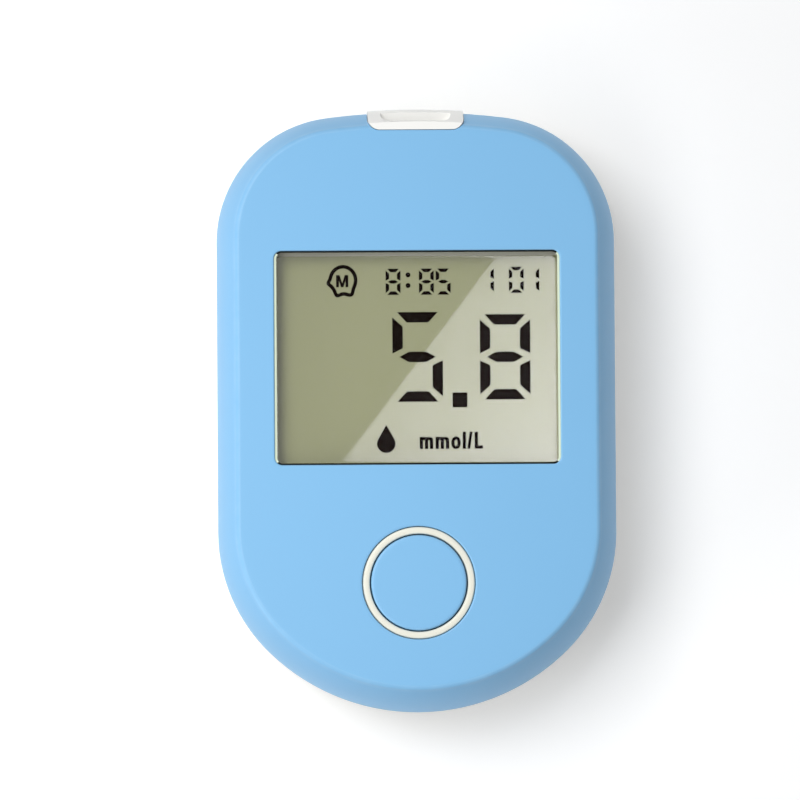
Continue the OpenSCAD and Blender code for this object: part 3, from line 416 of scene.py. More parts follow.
def cell_sleeve_finish():
    """Printed shrink sleeve of a battery cell: slate, with two pale rings near each end."""
    finish, tree, shader = new_finish("cell_sleeve_slate")
    place = tree.nodes.new("ShaderNodeTexCoord").outputs["Object"]
    split = tree.nodes.new("ShaderNodeSeparateXYZ")
    tree.links.new(place, split.inputs[0])
    centre = (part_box("cell_jackets")[0][1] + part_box("cell_jackets")[1][1]) / 2
    along = add_math(tree, "ABSOLUTE", add_math(tree, "SUBTRACT", split.outputs["Y"], centre), 0.0)
    bands = []
    for middle, half_width in ((0.0172, 0.0007), (0.0152, 0.0003)):
        bands.append(add_math(tree, "COMPARE", along, middle))
        bands[-1].node.inputs[2].default_value = half_width
    rings = add_math(tree, "MAXIMUM", *bands)
    skin = place_group(tree, MOULDED_SKIN, Colour=tint(62, 74, 92), Pits_per_metre=2500.0,
                       Mottle=0.08, Roughness=0.3, Gloss_spread=0.12)
    colour = add_mix(tree, rings, skin.outputs["Colour"], tint(214, 218, 222))
    tree.links.new(colour, shader.inputs["Base Color"])
    tree.links.new(skin.outputs["Roughness"], shader.inputs["Roughness"])
    add_bump(tree, shader, skin.outputs["Height"], 0.1, PRINTED_RELIEF)
    return finish


def display_back_finish():
    """The display's grey-green back, as it shows through the liquid crystal: a dull
    ground under a glass-smooth face, so that a bright card mirrors behind the segments."""
    finish, tree, shader = new_finish("display_grey_green")
    skin = place_group(tree, MOULDED_SKIN, Colour=tint(150, 152, 110), Pits_per_metre=7000.0,
                       Mottle=0.03, Roughness=0.7, Gloss_spread=0.05)
    tree.links.new(skin.outputs["Colour"], shader.inputs["Base Color"])
    tree.links.new(skin.outputs["Roughness"], shader.inputs["Roughness"])
    shader.inputs["Specular IOR Level"].default_value = 0.0
    shader.inputs["Coat Weight"].default_value = 1.0
    shader.inputs["Coat Roughness"].default_value = 0.015
    shader.inputs["Coat IOR"].default_value = 1.8
    add_bump(tree, shader, skin.outputs["Height"], 0.05, FINE_LINES)
    return finish


DARK_STEEL = tint(120, 118, 114)
FINISHES = {
    "cover_blue": moulded_plastic("case_sky_blue", tint(128, 191, 236), tint(176, 216, 246), 0.46,
                                  mottle=0.025, wear=0.25),
    "cover_white": moulded_plastic("rear_case_white", tint(232, 232, 226), tint(246, 246, 242),
                                   0.5, wear=0.25),
    "port_white": moulded_plastic("port_white", tint(254, 253, 249), tint(253, 252, 249), 0.38,
                                  pits=4000.0, strength=0.06),
    "ring_cream": moulded_plastic("ring_cream", tint(240, 238, 222), tint(248, 247, 236), 0.36,
                                  pits=4000.0, strength=0.05),
    "window_clear": clear_plastic("window_clear", 1.1),
    "tape_black": moulded_plastic("tape_black", tint(26, 26, 28), tint(52, 52, 54), 0.7, wear=0.1),
    "polariser": clear_film("polariser_film", tint(150, 150, 120), 0.3, 0.006),
    "lcd_glass": clear_film("display_front_glass", tint(190, 200, 186), 0.2, 0.006),
    "lcd_dark": moulded_plastic("display_dark_segment", tint(14, 5, 4), tint(30, 20, 18), 0.6,
                                mottle=0.1, wear=0.0, strength=0.03, specular=0.0),
    "seal_resin": moulded_plastic("seal_resin", tint(206, 204, 188), tint(220, 218, 204), 0.4,
                                  wear=0.1),
    "reflector_foil": plain_metal("reflector_foil", tint(196, 196, 176), tint(150, 150, 130), 0.42),
    "frame_white": moulded_plastic("display_frame_white", tint(228, 228, 220),
                                   tint(240, 240, 234), 0.5),
    "zebra_rubber": moulded_plastic("contact_strip_rubber", tint(66, 62, 60), tint(90, 86, 84),
                                    0.75, pits=9000.0, wear=0.1, strength=0.2),
    "board_green": circuit_board_finish(),
    "connector_black": moulded_plastic("connector_black", tint(34, 34, 36), tint(70, 70, 72), 0.52),
    "contact_gold": plain_metal("contact_gold", tint(222, 184, 104), tint(150, 116, 60), 0.25),
    "chip_black": moulded_plastic("chip_black", tint(40, 40, 42), tint(66, 66, 68), 0.6,
                                  pits=7000.0, strength=0.2),
    "can_steel": plain_metal("can_steel", tint(204, 206, 208), DARK_STEEL, 0.24, tarnish=0.1),
    "spring_steel": plain_metal("spring_steel", tint(206, 204, 198), DARK_STEEL, 0.28,
                                stretch=(0.3, 1.0, 0.3), tarnish=0.2),
    "part_ceramic": moulded_plastic("part_ceramic", tint(150, 124, 98), tint(180, 156, 130), 0.5,
                                    pits=9000.0, mottle=0.2),
    "cell_sleeve": cell_sleeve_finish(),
    "screw_steel": plain_metal("screw_steel", tint(196, 198, 202), DARK_STEEL, 0.3,
                               stretch=(1.0, 1.0, 0.1), tarnish=0.25),
}
DISPLAY_BACK = display_back_finish()
# Painted highlight: the pale colour on the pane's two long sides stands for light catching the
# pane's edge in the gap round it.
PAINTED_PANE_SIDE_HIGHLIGHT = moulded_plastic("pane_side_painted_highlight", tint(228, 238, 208), tint(240, 246, 226), 0.4,
                            wear=0.2)
# Painted shade: the near-black colour on the pane's top and bottom ends stands for the shadow in
# the gap round the pane.
PAINTED_PANE_END_SHADE = moulded_plastic("pane_end_painted_shade", tint(12, 18, 20), tint(30, 36, 38), 0.5,
                           wear=0.2, specular=0.1)


# ---- mesh helpers ----

def cos_deg(angle):
    return math.cos(math.radians(angle))


def sin_deg(angle):
    return math.sin(math.radians(angle))


def arc(cx, cy, radius, start, end, steps):
    """Points on an arc, in degrees, without its last point."""
    angles = [math.radians(start + (end - start) * i / steps) for i in range(steps)]
    return [(cx + radius * math.cos(a), cy + radius * math.sin(a)) for a in angles]


def straight(start, end, steps):
    """Points on a line, without its last point."""
    return [tuple(s + (e - s) * i / steps for s, e in zip(start, end)) for i in range(steps)]


def case_outline(inset):
    """The case's outline in plan, counter-clockwise, drawn in by inset all round."""
    side_x = CASE_W / 2 - inset
    return (
        arc(0, CROWN_CY, CROWN_R - inset, 90 - CROWN_ANGLE, 90 + CROWN_ANGLE, 28)
        + arc(-TOP_CX, TOP_CY, TOP_CORNER_R - inset, 90 + CROWN_ANGLE, 180, 40)
        + straight((-side_x, TOP_CY), (-side_x, LOW_CY), 8)
        + arc(-LOW_CX, LOW_CY, LOW_CORNER_R - inset, 180, 270 - END_ANGLE, 28)
        + arc(0, END_CY, END_R - inset, 270 - END_ANGLE, 270 + END_ANGLE, 44)
        + arc(LOW_CX, LOW_CY, LOW_CORNER_R - inset, 270 + END_ANGLE, 360, 28)
        + straight((side_x, LOW_CY), (side_x, TOP_CY), 8)
        + arc(TOP_CX, TOP_CY, TOP_CORNER_R - inset, 0, 90 - CROWN_ANGLE, 40)
    )


def round_rect(width, height, radius):
    """A rounded rectangle in plan round the window's middle, counter-clockwise."""
    x, y, cy = width / 2 - radius, height / 2 - radius, WINDOW_CY
    return (
        arc(x, cy + y, radius, 0, 90, CORNER_STEPS)
        + straight((x, cy + y + radius), (-x, cy + y + radius), SIDE_STEPS)
        + arc(-x, cy + y, radius, 90, 180, CORNER_STEPS)
        + straight((-x - radius, cy + y), (-x - radius, cy - y), SIDE_STEPS)
        + arc(-x, cy - y, radius, 180, 270, CORNER_STEPS)
        + straight((-x, cy - y - radius), (x, cy - y - radius), SIDE_STEPS)
        + arc(x, cy - y, radius, 270, 360, CORNER_STEPS)
        + straight((x + radius, cy - y), (x + radius, cy + y), SIDE_STEPS)
    )


def add_loop(bm, points, z):
    """A level loop of vertices from points in mm."""
    return [bm.verts.new((x * MM, y * MM, z * MM)) for x, y in points]


def bridge(bm, loops):
    """Quads between closed loops that follow each other."""
    for low, high in zip(loops, loops[1:]):
        for i, vertex in enumerate(low):
            j = (i + 1) % len(low)
            bm.faces.new((vertex, low[j], high[j], high[i]))


def fill_between(bm, *loops):
    """Fills the flat region inside the first loop and outside the others."""
    edges = []
    for loop in loops:
        for i, vertex in enumerate(loop):
            pair = (vertex, loop[(i + 1) % len(loop)])
            edges.append(bm.edges.get(pair) or bm.edges.new(pair))
    bmesh.ops.triangle_fill(bm, use_beauty=True, use_dissolve=False, edges=edges, normal=(0, 0, 1))


def paint_rubbed(piece, low, high):
    """Stores where the piece is rubbed: 1 at points between two heights in mm, else 0."""
    values = [1.0 if low < vertex.co.z / MM < high else 0.0 for vertex in piece.data.vertices]
    layer = piece.data.attributes.new("rubbed", "FLOAT", "POINT")
    layer.data.foreach_set("value", values)


def bake_modifiers(piece):
    """Replaces the piece's mesh with what its modifiers make."""
    bpy.context.view_layer.update()
    shaped = piece.evaluated_get(bpy.context.evaluated_depsgraph_get())
    mesh = bpy.data.meshes.new_from_object(shaped)
    piece.modifiers.clear()
    piece.data = mesh


def smooth_by_angle(piece, angle, weighted=True):
    """Smooth shading, with sharp edges where faces turn by more than angle degrees."""
    piece.data.polygons.foreach_set("use_smooth", [True] * len(piece.data.polygons))
    piece.data.set_sharp_from_angle(angle=math.radians(angle))
    if weighted:
        weights = piece.modifiers.new("even_normals", "WEIGHTED_NORMAL")
        weights.keep_sharp = True
        bake_modifiers(piece)


def new_piece(name, bm):
    """An object in the scene from a finished bmesh."""
    bmesh.ops.recalc_face_normals(bm, faces=bm.faces)
    mesh = bpy.data.meshes.new(name)
    bm.to_mesh(mesh)
    bm.free()
    piece = bpy.data.objects.new(name, mesh)
    bpy.context.scene.collection.objects.link(piece)
    return piece


def dress(piece, slot, body, *nodes):
    """Gives the piece its finish and its body, and hides the CAD nodes it stands for."""
    piece.data.materials.clear()
    piece.data.materials.append(FINISHES[slot])
    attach(piece, body)
    if nodes:
        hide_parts(*nodes)


def lathe(bm, profile):
    """Turns (radius, z) points round the button's axis; a radius of 0 closes on the axis."""
    rings = []
    for radius, z in profile:
        if radius == 0:
            rings.append(add_loop(bm, [(0, BUTTON_Y)], z))
        else:
            rings.append(add_loop(bm, arc(0, BUTTON_Y, radius, 0, 360, ROUND_STEPS), z))
    for low, high in zip(rings, rings[1:]):
        if len(low) > 1 and len(high) > 1:
            bridge(bm, [low, high])
        else:
            axis, ring = (low[0], high) if len(low) == 1 else (high[0], low)
            for i, vertex in enumerate(ring):
                bm.faces.new((axis, vertex, ring[(i + 1) % len(ring)]))
    return rings


def quarter(radius, cr, cz, start, end, steps=4):
    """A rounded corner of a lathe profile, with both its ends."""
    points = arc(cr, cz, radius, start, end, steps)
    last = math.radians(end)
    return points + [(cr + radius * math.cos(last), cz + radius * math.sin(last))]


# ---- front cover ----

def front_wall_rows():
    """(inset, z) of the front cover's wall, from under the face, round and up to the face."""
    inner_land, shelf_inset, lip_inset, lip_r, face_land = 0.4, 0.3, 0.01, 0.12, 0.35
    inner_r = SIDE_R - WALL
    turn = math.asin((FACE_UNDER_Z - PARTING_Z) / inner_r)
    rows = [(SIDE_R - inner_r * math.cos(turn) + inner_land, FACE_UNDER_Z)]
    for i in range(9):
        angle = turn * (1 - i / 8)
        rows.append((SIDE_R - inner_r * math.cos(angle), PARTING_Z + inner_r * math.sin(angle)))
    seam_z = PARTING_Z + SEAM_HALF
    rows += [(SEAM_DEPTH, PARTING_Z), (SEAM_DEPTH, seam_z), (shelf_inset, seam_z)]
    for angle in (90, 60, 30, 0):
        rows.append((lip_inset + lip_r * (1 - cos_deg(angle)),
                     seam_z + lip_r * (1 - sin_deg(angle))))
    crease_inset = SIDE_R - math.sqrt((SIDE_R - CREASE_R) ** 2 - (RISE - CREASE_R) ** 2)
    crease_turn = math.asin((RISE - CREASE_R) / (SIDE_R - CREASE_R))
    first_turn = math.asin((SEAM_HALF + 2 * lip_r) / SIDE_R)
    for i in range(15):
        angle = first_turn + (crease_turn - first_turn) * i / 14
        rows.append((SIDE_R * (1 - math.cos(angle)), PARTING_Z + SIDE_R * math.sin(angle)))
    for i in range(1, 9):
        angle = crease_turn + (math.pi / 2 - crease_turn) * i / 8
        rows.append((crease_inset - CREASE_R * math.cos(angle),
                     FACE_Z - CREASE_R * (1 - math.sin(angle))))
    rows.append((crease_inset + face_land, FACE_Z))
    return rows


def opening_rows(bm, plan):
    """Loops down the wall of an opening in the face; plan(grow) is its outline, grown."""
    face_land = 0.15
    rows = [(EDGE_R + face_land, FACE_Z)]
    for angle in (0, 22.5, 45, 67.5, 90):
        rows.append((EDGE_R * (1 - sin_deg(angle)), FACE_Z - EDGE_R * (1 - cos_deg(angle))))
    rows.append((0, FACE_UNDER_Z))
    return [add_loop(bm, plan(grow), z) for grow, z in rows]


def port_plan():
    """The port's notch in plan: straight out past the crown, round at its inner corners."""
    half = PORT_W / 2 + INSERT_GAP
    radius = PORT_CORNER_R + INSERT_GAP
    y = PORT_INNER_Y - INSERT_GAP
    past_crown = CASE_TOP_Y + 2
    return (
        [(half, past_crown), (-half, past_crown)]
        + arc(-half + radius, y + radius, radius, 180, 270, CORNER_STEPS)
        + arc(half - radius, y + radius, radius, 270, 360, CORNER_STEPS)
        + [(half, y + radius)]
    )


def cut_with(piece, bm, name):
    """Cuts a closed solid out of the piece."""
    cutter = new_piece(name, bm)
    cut = piece.modifiers.new(name, "BOOLEAN")
    cut.operation = "DIFFERENCE"
    cut.solver = "EXACT"
    cut.object = cutter
    bake_modifiers(piece)
    bpy.data.objects.remove(cutter)


def add_slab(bm, outline, low, high):
    """A closed upright slab with that outline, between two heights in mm."""
    bottom, top = add_loop(bm, outline, low), add_loop(bm, outline, high)
    bridge(bm, [bottom, top])
    bm.faces.new(bottom[::-1])
    bm.faces.new(top)
    return bm


def soften_edges(piece, width, wanted, segments=2):
    """Bevels the sharp edges that wanted(middle point in mm) accepts."""
    bm = bmesh.new()
    bm.from_mesh(piece.data)
    layer = bm.edges.layers.float.new("bevel_weight_edge")
    sharp = math.radians(35)
    for edge in bm.edges:
        middle = (edge.verts[0].co + edge.verts[1].co) / 2 / MM
        if len(edge.link_faces) == 2 and edge.calc_face_angle(0) > sharp and wanted(middle):
            edge[layer] = 1.0
    bm.to_mesh(piece.data)
    bm.free()
    bevel = piece.modifiers.new("soft_edges", "BEVEL")
    bevel.limit_method = "WEIGHT"
    bevel.width = width * MM
    bevel.segments = segments
    bake_modifiers(piece)


def make_front_cover():
    """The blue front shell, with rounded crease, seam step and soft-edged openings."""
    bm = bmesh.new()
    rows = [add_loop(bm, case_outline(inset), z) for inset, z in front_wall_rows()]
    bridge(bm, rows)
    window = opening_rows(bm, lambda grow: round_rect(
        OPENING_W + 2 * grow, OPENING_H + 2 * grow, OPENING_R + grow))
    ring = opening_rows(bm, lambda grow: arc(0, BUTTON_Y, RING_R + INSERT_GAP + grow, 0, 360, 96))
    bridge(bm, window)
    bridge(bm, ring)
    fill_between(bm, rows[-1], window[0], ring[0])
    fill_between(bm, rows[0], window[-1], ring[-1])
    cover = new_piece("front_shell", bm)

    below = PARTING_Z - 1
    cut_with(cover, add_slab(bmesh.new(), port_plan(), below, FACE_Z + 1), "port_notch")
    half, back, front = PORT_W / 2 + INSERT_GAP, PORT_BACK_Y - PORT_POCKET, CASE_TOP_Y - 1
    pocket = [(-half, back), (half, back), (half, front), (-half, front)]
    cut_with(cover, add_slab(bmesh.new(), pocket, below, FACE_UNDER_Z - INSERT_GAP), "port_pocket")
    notch_y, notch_x, notch_z = 39.5, 8, PARTING_Z + 0.5
    soften_edges(cover, 0.14, lambda p: p.y > notch_y and abs(p.x) < notch_x and p.z > notch_z, 3)
    smooth_by_angle(cover, 38)
    paint_rubbed(cover, FACE_Z - 0.75, FACE_Z - FLAT_TOP)
    dress(cover, "cover_blue", "housing", "front_cover")


# ---- window, ring, button ----

def make_window():
    """The clear window: its flange under the face and its raised, soft-edged pane."""
    bm = bmesh.new()
    soft, top_land = 0.14, 0.2
    pane_w, pane_h = OPENING_W - 2 * PANE_GAP_X, OPENING_H - 2 * PANE_GAP_Y
    pane_r = OPENING_R - PANE_GAP_X
    rows = [(FLANGE_W, FLANGE_Z), (FLANGE_W, FLANGE_Z + FLANGE_T), (0, FLANGE_Z + FLANGE_T),
            (0, WINDOW_TOP_Z - soft)]
    rows += [(-soft * (1 - cos_deg(angle)), WINDOW_TOP_Z - soft * (1 - sin_deg(angle)))
             for angle in (22.5, 45, 67.5, 90)]
    rows.append((-soft - top_land, WINDOW_TOP_Z))
    loops = [add_loop(bm, round_rect(pane_w + 2 * grow, pane_h + 2 * grow, pane_r + grow), z)
             for grow, z in rows]
    bridge(bm, loops)
    bm.faces.new(loops[0][::-1])
    bm.faces.new(loops[-1])
    window = new_piece("window_pane", bm)
    smooth_by_angle(window, 40)
    dress(window, "window_clear", "housing", "display_window")


def make_pane_edge(name, finish, sides):
    """The edge of the window pane, which shows in the gap round it: along its two sides, or along
    its top and bottom. Its finish is painted light: a pale painted highlight on the sides,
    near-black painted shade on the ends."""
    play, inner_r, lift, drop = 0.03, OPENING_R - 0.25, 0.02, 0.08
    outer = round_rect(OPENING_W - play, OPENING_H - play, OPENING_R)
    inner = round_rect(OPENING_W - 2 * PANE_GAP_X + play, OPENING_H - 2 * PANE_GAP_Y + play,
                       inner_r)
    low, high = FLANGE_Z + FLANGE_T + lift, WINDOW_TOP_Z - drop
    bm = bmesh.new()
    section = ((outer, low), (outer, high), (inner, high), (inner, low))
    rows = [add_loop(bm, points, z) for points, z in section]
    for i in range(len(outer)):
        j = (i + 1) % len(outer)
        x = (outer[i][0] + outer[j][0]) / OPENING_W
        y = (outer[i][1] + outer[j][1] - 2 * WINDOW_CY) / OPENING_H
        if (abs(x) > abs(y)) == sides:
            for low_row, high_row in zip(rows, rows[1:] + rows[:1]):
                bm.faces.new((low_row[i], low_row[j], high_row[j], high_row[i]))
    bmesh.ops.delete(bm, geom=[v for v in bm.verts if not v.link_faces], context="VERTS")
    bmesh.ops.holes_fill(bm, edges=[e for e in bm.edges if len(e.link_faces) == 1], sides=4)
    edge = new_piece(name, bm)
    smooth_by_angle(edge, 30)
    dress(edge, "window_clear", "housing")
    edge.data.materials[0] = finish


def make_display_front():
    """The display's front glass with the polariser laminated on it. Its underside, which
    lies on the liquid crystal, is left open."""
    bm = bmesh.new()
    glass_w, glass_h, bottom, top = FRONT_GLASS
    film_w, film_h, film_top = FRONT_FILM
    corner_r = 0.3
    steps = ((glass_w, glass_h, bottom), (glass_w, glass_h, top),
             (film_w, film_h, top), (film_w, film_h, film_top))
    loops = [add_loop(bm, round_rect(width, height, corner_r), z) for width, height, z in steps]
    bridge(bm, loops)
    bm.faces.new(loops[-1])
    front = new_piece("display_front", bm)
    smooth_by_angle(front, 40, weighted=False)
    dress(front, "polariser", "housing", "front_polariser", "lcd_front_glass")


def make_button_ring():
    """The cream ring, with the flange that holds it behind the face."""
    bm = bmesh.new()
    bottom, flange_top, flange_r, soft = 18.58, 19.38, RING_R + 1.2, 0.25
    profile = [(RING_BORE_R, bottom), (flange_r, bottom), (flange_r, flange_top),
               (RING_R, flange_top)]
    profile += quarter(soft, RING_R - soft, RING_TOP_Z - soft, 0, 90)
    profile += quarter(soft, RING_BORE_R + soft, RING_TOP_Z - soft, 90, 180)
    profile += [(RING_BORE_R, bottom)]
    rings = lathe(bm, profile)
    bmesh.ops.weld_verts(bm, targetmap=dict(zip(rings[-1], rings[0])))
    ring = new_piece("button_surround", bm)
    smooth_by_angle(ring, 40)
    paint_rubbed(ring, RING_TOP_Z - 0.2, FACE_Z)
    dress(ring, "ring_cream", "housing", "button_ring")


def make_button_cap():
    """The blue button, hollow below round its stem, with the flange that stops it."""
    bm = bmesh.new()
    stem_r, stem_z, hollow_r, hollow_z = 2, 17.92, 5.7, 19.6
    flange_r, flange_z, flange_top, soft, top_land = 7.7, 17.78, 17.78 + 0.7, 0.32, 0.4
    profile = [(0, stem_z), (stem_r, stem_z), (stem_r, hollow_z), (hollow_r, hollow_z),
               (hollow_r, flange_z), (flange_r, flange_z), (flange_r, flange_top),
               (CAP_R, flange_top)]
    profile += quarter(soft, CAP_R - soft, CAP_TOP_Z - soft, 0, 90, 6)
    profile += [(CAP_R - soft - top_land, CAP_TOP_Z), (0, CAP_TOP_Z)]
    lathe(bm, profile)
    cap = new_piece("press_button", bm)
    smooth_by_angle(cap, 40)
    paint_rubbed(cap, CAP_TOP_Z - 0.3, CAP_TOP_Z - FLAT_TOP)
    dress(cap, "cover_blue", "button", "button_cap")


# ---- pieces that keep the CAD's shape, with softened edges ----

def softened_copy(name, node, slot, body, width, wanted, segments=2):
    """A welded copy of a CAD node with its outer edges bevelled and its curves smooth."""
    weld, flat_angle, smooth_angle = 0.002, 0.4, 32
    bm = bmesh.new()
    bm.from_mesh(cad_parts[node].data)
    bmesh.ops.remove_doubles(bm, verts=bm.verts, dist=weld * MM)
    bmesh.ops.dissolve_limit(bm, angle_limit=math.radians(flat_angle), verts=bm.verts,
                             edges=bm.edges)
    piece = new_piece(name, bm)
    soften_edges(piece, width, wanted, segments)
    smooth_by_angle(piece, smooth_angle)
    dress(piece, slot, body, node)


# ---- what the display shows beside the CAD's segments ----

def stroke_sides(path, width, closed=False):
    """The right and the left side of a stroke of even width along a path, in mm."""
    right, left = [], []
    for i, (x, y) in enumerate(path):
        before = path[i - 1] if closed or i else path[i]
        after = path[(i + 1) % len(path)] if closed or i + 1 < len(path) else path[i]
        across = Vector((after[1] - before[1], before[0] - after[0])).normalized() * width / 2
        right.append((x + across.x, y + across.y))
        left.append((x - across.x, y - across.y))
    return right, left


def add_figure(bm, outline):
    """A thin flat figure in the segments' layer from its outline in mm."""
    add_slab(bm, outline, FIGURE_LOW, FIGURE_HIGH)


def add_ring_figure(bm, path, width):
    """The same for a closed stroke."""
    outer, inner = stroke_sides(path, width, True)
    section = ((outer, FIGURE_LOW), (outer, FIGURE_HIGH), (inner, FIGURE_HIGH), (inner, FIGURE_LOW))
    loops = [add_loop(bm, side, z) for side, z in section]
    bridge(bm, loops + [loops[0]])


def add_stroke(bm, path, width):
    """The same for an open stroke."""
    right, left = stroke_sides(path, width)
    add_figure(bm, right + left[::-1])


def make_unit_letters():
    """The unit mmol/L in upright letters of even strokes. The x values are measured
    from the meter's middle line."""
    bm = bmesh.new()
    base, low, high, stroke, slash_stroke, bow_h = WINDOW_CY - 13.05, 1.76, 2.47, 0.49, 0.42, 0.5
    for stems in ((0.56, 1.3, 2.03), (2.86, 3.6, 4.35)):
        add_stroke(bm, [(stems[0], base), (stems[0], base + low)], stroke)
        for start, end in zip(stems, stems[1:]):
            bow = [((start + end) / 2 - (end - start) / 2 * cos_deg(angle),
                    base + low - bow_h + (bow_h - stroke / 2) * sin_deg(angle))
                   for angle in range(0, 181, 15)]
            add_stroke(bm, bow + [(end, base)], stroke)
    o_x, o_reach_x, o_reach_y = 5.58, 0.45, 0.69
    letter_o = [(o_x + o_reach_x * cos_deg(angle), base + low / 2 + o_reach_y * sin_deg(angle))
                for angle in range(0, 360, 10)]
    add_ring_figure(bm, letter_o, stroke)
    small_l_x, slash_low_x, slash_high_x, left, right = 6.79, 7.42, 7.79, 8.28, 9.5
    add_stroke(bm, [(small_l_x, base), (small_l_x, base + high)], stroke)
    add_stroke(bm, [(slash_low_x, base), (slash_high_x, base + high)], slash_stroke)
    add_figure(bm, [(left, base), (right, base), (right, base + stroke),
                    (left + stroke, base + stroke), (left + stroke, base + high),
                    (left, base + high)])
    dress(new_piece("unit_letters", bm), "lcd_dark", "housing")


def make_memory_sign():
    """A plain head in outline with a capital M in it, the sign for a stored reading."""
    bm = bmesh.new()
    wide, high, stem, left, base = 1.76, 1.76, 0.4, -11.66, WINDOW_CY + 10.56
    shoulder, tip, slope_x, dip = high - 0.8, 0.17, 0.5, 0.55
    letter = [(0, 0), (stem, 0), (stem, shoulder), (wide / 2 - tip, 0), (wide / 2 + tip, 0),
              (wide - stem, shoulder), (wide - stem, 0), (wide, 0), (wide, high),
              (wide - slope_x, high), (wide / 2, dip), (slope_x, high), (0, high)]
    add_figure(bm, [(left + x, base + y) for x, y in letter])
    head_x, head_y, radius, line = -10.75, WINDOW_CY + 11.5, 1.84, 0.52
    oval, oval_turn, tall = 0.1, 0.6, 1.07
    bumps = ((0.34, 190, 11), (0.42, 248, 13), (0.46, 304, 15))
    head = []
    for degrees in range(0, 360, 4):
        angle = math.radians(degrees)
        reach = radius + oval * math.cos(angle - oval_turn)
        for height, middle, spread in bumps:
            reach += height * math.exp(-((degrees - middle) / spread) ** 2)
        head.append((head_x + reach * math.cos(angle), head_y + tall * reach * math.sin(angle)))
    add_ring_figure(bm, head, line)
    dress(new_piece("memory_sign", bm), "lcd_dark", "housing")


# ---- stage, lamps and camera ----

def white_rays(tree):
    """1 for camera, glossy and transmitted rays, which see the white ground."""
    path = tree.nodes.new("ShaderNodeLightPath")
    seen = add_math(tree, "ADD", path.outputs["Is Camera Ray"], path.outputs["Is Glossy Ray"])
    return add_math(tree, "ADD", seen, path.outputs["Is Transmission Ray"], clamp=True)


def make_floor():
    """White paper ground. What the camera sees of it has a little glow, so the shadow
    stays pale."""
    bm = bmesh.new()
    bmesh.ops.create_grid(bm, x_segments=8, y_segments=8, size=3.0)
    floor = new_piece("ground", bm)
    floor.location.z = -PAPER_DROP * MM
    finish, tree, shader = new_finish("white_paper")
    skin = place_group(tree, MOULDED_SKIN, Colour=(0.97, 0.97, 0.97, 1), Pits_per_metre=1500.0,
                       Mottle=0.01, Roughness=0.9)
    tree.links.new(skin.outputs["Colour"], shader.inputs["Base Color"])
    shader.inputs["Roughness"].default_value = 0.9
    shader.inputs["Specular IOR Level"].default_value = 0.0
    glow = tree.nodes.new("ShaderNodeEmission")
    seen = add_math(tree, "MULTIPLY", white_rays(tree), FLOOR_GLOW)
    tree.links.new(seen, glow.inputs["Strength"])
    both = tree.nodes.new("ShaderNodeAddShader")
    tree.links.new(shader.outputs[0], both.inputs[0])
    tree.links.new(glow.outputs[0], both.inputs[1])
    tree.links.new(both.outputs[0], tree.nodes["Material Output"].inputs["Surface"])
    floor.data.materials.append(finish)


def make_world():
    """Even light on the meter from a pale room, which shows itself as plain white."""
    world = bpy.data.worlds.new("studio")
    bpy.context.scene.world = world
    world.use_nodes = True
    tree = world.node_tree
    ambient = tree.nodes["Background"]
    ambient.inputs["Color"].default_value = (0.96, 0.98, 1.0, 1)
    ambient.inputs["Strength"].default_value = AMBIENT
    white = tree.nodes.new("ShaderNodeBackground")
    white.inputs["Color"].default_value = (1, 1, 1, 1)
    mix_shaders(tree, white_rays(tree), ambient, white, "World Output")


def softbox(name, azimuth, elevation, distance, width, height, level):
    """A soft lamp aimed at the meter, in degrees and metres. Its level is what a white
    surface that faces it would show."""
    lamp = bpy.data.lights.new(name, "AREA")
    lamp.shape = "RECTANGLE"
    lamp.size = width
    lamp.size_y = height
    lamp.energy = level * math.pi ** 2 * distance ** 2
    holder = bpy.data.objects.new(name, lamp)
    holder.visible_camera = False
    bpy.context.scene.collection.objects.link(holder)
    az, el = math.radians(azimuth), math.radians(elevation)
    away = Vector((math.cos(az) * math.cos(el), math.sin(az) * math.cos(el), math.sin(el)))
    aim = Vector((0, 0, 0.01))
    holder.location = aim + away * distance
    holder.rotation_euler = away.to_track_quat("Z", "Y").to_euler()


def make_camera():
    """A long lens almost straight above, leaning a little to the front and left."""
    lean = [math.tan(math.radians(angle)) for angle in (LEAN_LEFT, LEAN_FRONT)]
    away = Vector((-lean[0], -lean[1], 1)).normalized()
    right = Vector((0, 1, 0)).cross(away).normalized()
    up = away.cross(right)
    side = right * cos_deg(ROLL) - up * sin_deg(ROLL)
    top = right * sin_deg(ROLL) + up * cos_deg(ROLL)
    middle = Vector((0, -0.2, PARTING_Z))
    off_x, off_y = (pixels / PIXELS_PER_MM for pixels in OFF_CENTRE)
    target = middle - side * off_x + top * off_y
    data = bpy.data.cameras.new("camera")
    data.sensor_width = SENSOR_W
    data.lens = SENSOR_W * CAMERA_AWAY / (PICTURE_SIDE / PIXELS_PER_MM)
    data.clip_start = 0.01
    data.clip_end = 20.0
    camera = bpy.data.objects.new("camera", data)
    bpy.context.scene.collection.objects.link(camera)
    turn = Matrix((side, top, away)).transposed()
    place = Matrix.Translation((target + away * CAMERA_AWAY) * MM)
    camera.matrix_world = place @ turn.to_4x4()
    bpy.context.scene.camera = camera
    return camera


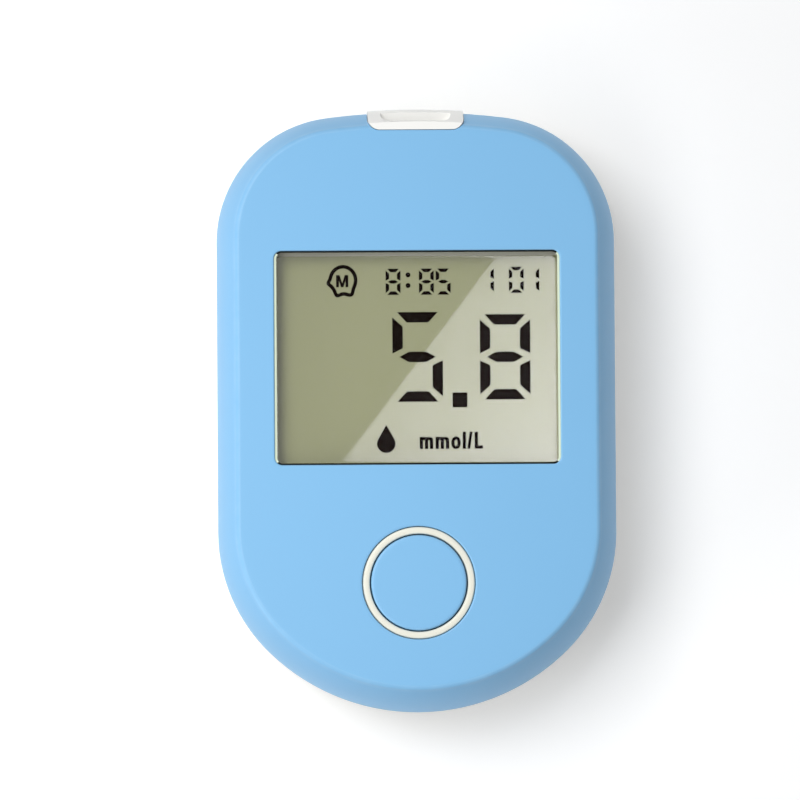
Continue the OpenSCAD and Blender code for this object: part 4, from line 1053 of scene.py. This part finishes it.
def make_glare_card(camera):
    """A bright card over the meter that only mirrors see. Its slanting edge shows on
    the display as the line between its dull and its bright half."""
    mirror_z = (SEGMENT_Z + SEGMENT_T / 2) * MM
    eye = camera.matrix_world.translation.copy()
    eye.z = 2 * mirror_z - eye.z
    corners = []
    for x, y in GLARE_CORNERS:
        seen = Vector((x * MM, (WINDOW_CY + y) * MM, mirror_z))
        corners.append(eye + (seen - eye) * ((GLARE_CARD_Z - eye.z) / (mirror_z - eye.z)))
    bm = bmesh.new()
    bm.faces.new([bm.verts.new(corner) for corner in corners])
    bmesh.ops.subdivide_edges(bm, edges=bm.edges, cuts=3, use_grid_fill=True)
    card = new_piece("glare_card", bm)
    edge = (corners[0] - corners[1]).normalized()
    across = Vector((edge.y, -edge.x, 0))
    finish, tree, shader = new_finish("glare_white")
    tree.nodes.remove(shader)
    reach = tree.nodes.new("ShaderNodeVectorMath")
    reach.operation = "DOT_PRODUCT"
    reach.inputs[1].default_value = across
    tree.links.new(tree.nodes.new("ShaderNodeTexCoord").outputs["Object"], reach.inputs[0])
    level = tree.nodes.new("ShaderNodeMapRange")
    level.inputs["From Min"].default_value = corners[0].dot(across)
    level.inputs["From Max"].default_value = corners[0].dot(across) + GLARE_FADE
    level.inputs["To Min"].default_value = GLARE_NEAR
    level.inputs["To Max"].default_value = GLARE_FAR
    tree.links.new(reach.outputs["Value"], level.inputs["Value"])
    glow = tree.nodes.new("ShaderNodeEmission")
    glow.inputs["Color"].default_value = (0.96, 0.95, 1.0, 1)
    tree.links.new(level.outputs[0], glow.inputs["Strength"])
    tree.links.new(glow.outputs[0], tree.nodes["Material Output"].inputs["Surface"])
    card.data.materials.append(finish)
    card.visible_camera = False
    card.visible_diffuse = False
    card.visible_glossy = False
    card.visible_shadow = False


# ---- the whole scene ----

make_front_cover()
make_window()
# The pane's sides get a painted highlight and its ends painted shade.
make_pane_edge("pane_sides", PAINTED_PANE_SIDE_HIGHLIGHT, True)
make_pane_edge("pane_ends", PAINTED_PANE_END_SHADE, False)
make_display_front()
make_button_ring()
make_button_cap()
softened_copy("rear_shell", "rear_cover", "cover_white", "housing", 0.12,
              lambda p: p.z < 0.05 or abs(p.z - (PARTING_Z - SEAM_HALF)) < 0.05)
softened_copy("bay_door", "battery_door", "cover_white", "door", 0.15, lambda p: p.z < 0.6)
softened_copy("strip_mouth", "port_insert", "port_white", "housing", 0.18,
              lambda p: p.y > PORT_INNER_Y - 0.2 and p.z > 15, 3)
make_unit_letters()
make_memory_sign()

REPLACED = {"front_cover", "display_window", "button_ring", "button_cap", "rear_cover",
            "battery_door", "port_insert", "front_polariser", "lcd_front_glass"}
for node_name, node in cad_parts.items():
    if node_name in REPLACED:
        continue
    for slot in node.material_slots:
        slot.material = FINISHES[slot.material.name.split(".")[0]]
    if node_name == "lcd_rear_glass":
        node.material_slots[0].material = DISPLAY_BACK

make_floor()
make_world()
softbox("key_lamp", azimuth=142, elevation=62, distance=2.4, width=1.3, height=1.3, level=0.42)
softbox("side_lamp", azimuth=190, elevation=69, distance=0.14, width=0.15, height=0.045, level=0.3)
softbox("low_lamp", azimuth=208, elevation=14, distance=2.4, width=1.0, height=1.0, level=0.27)
make_glare_card(make_camera())
bpy.context.scene.view_settings.view_transform = "Standard"
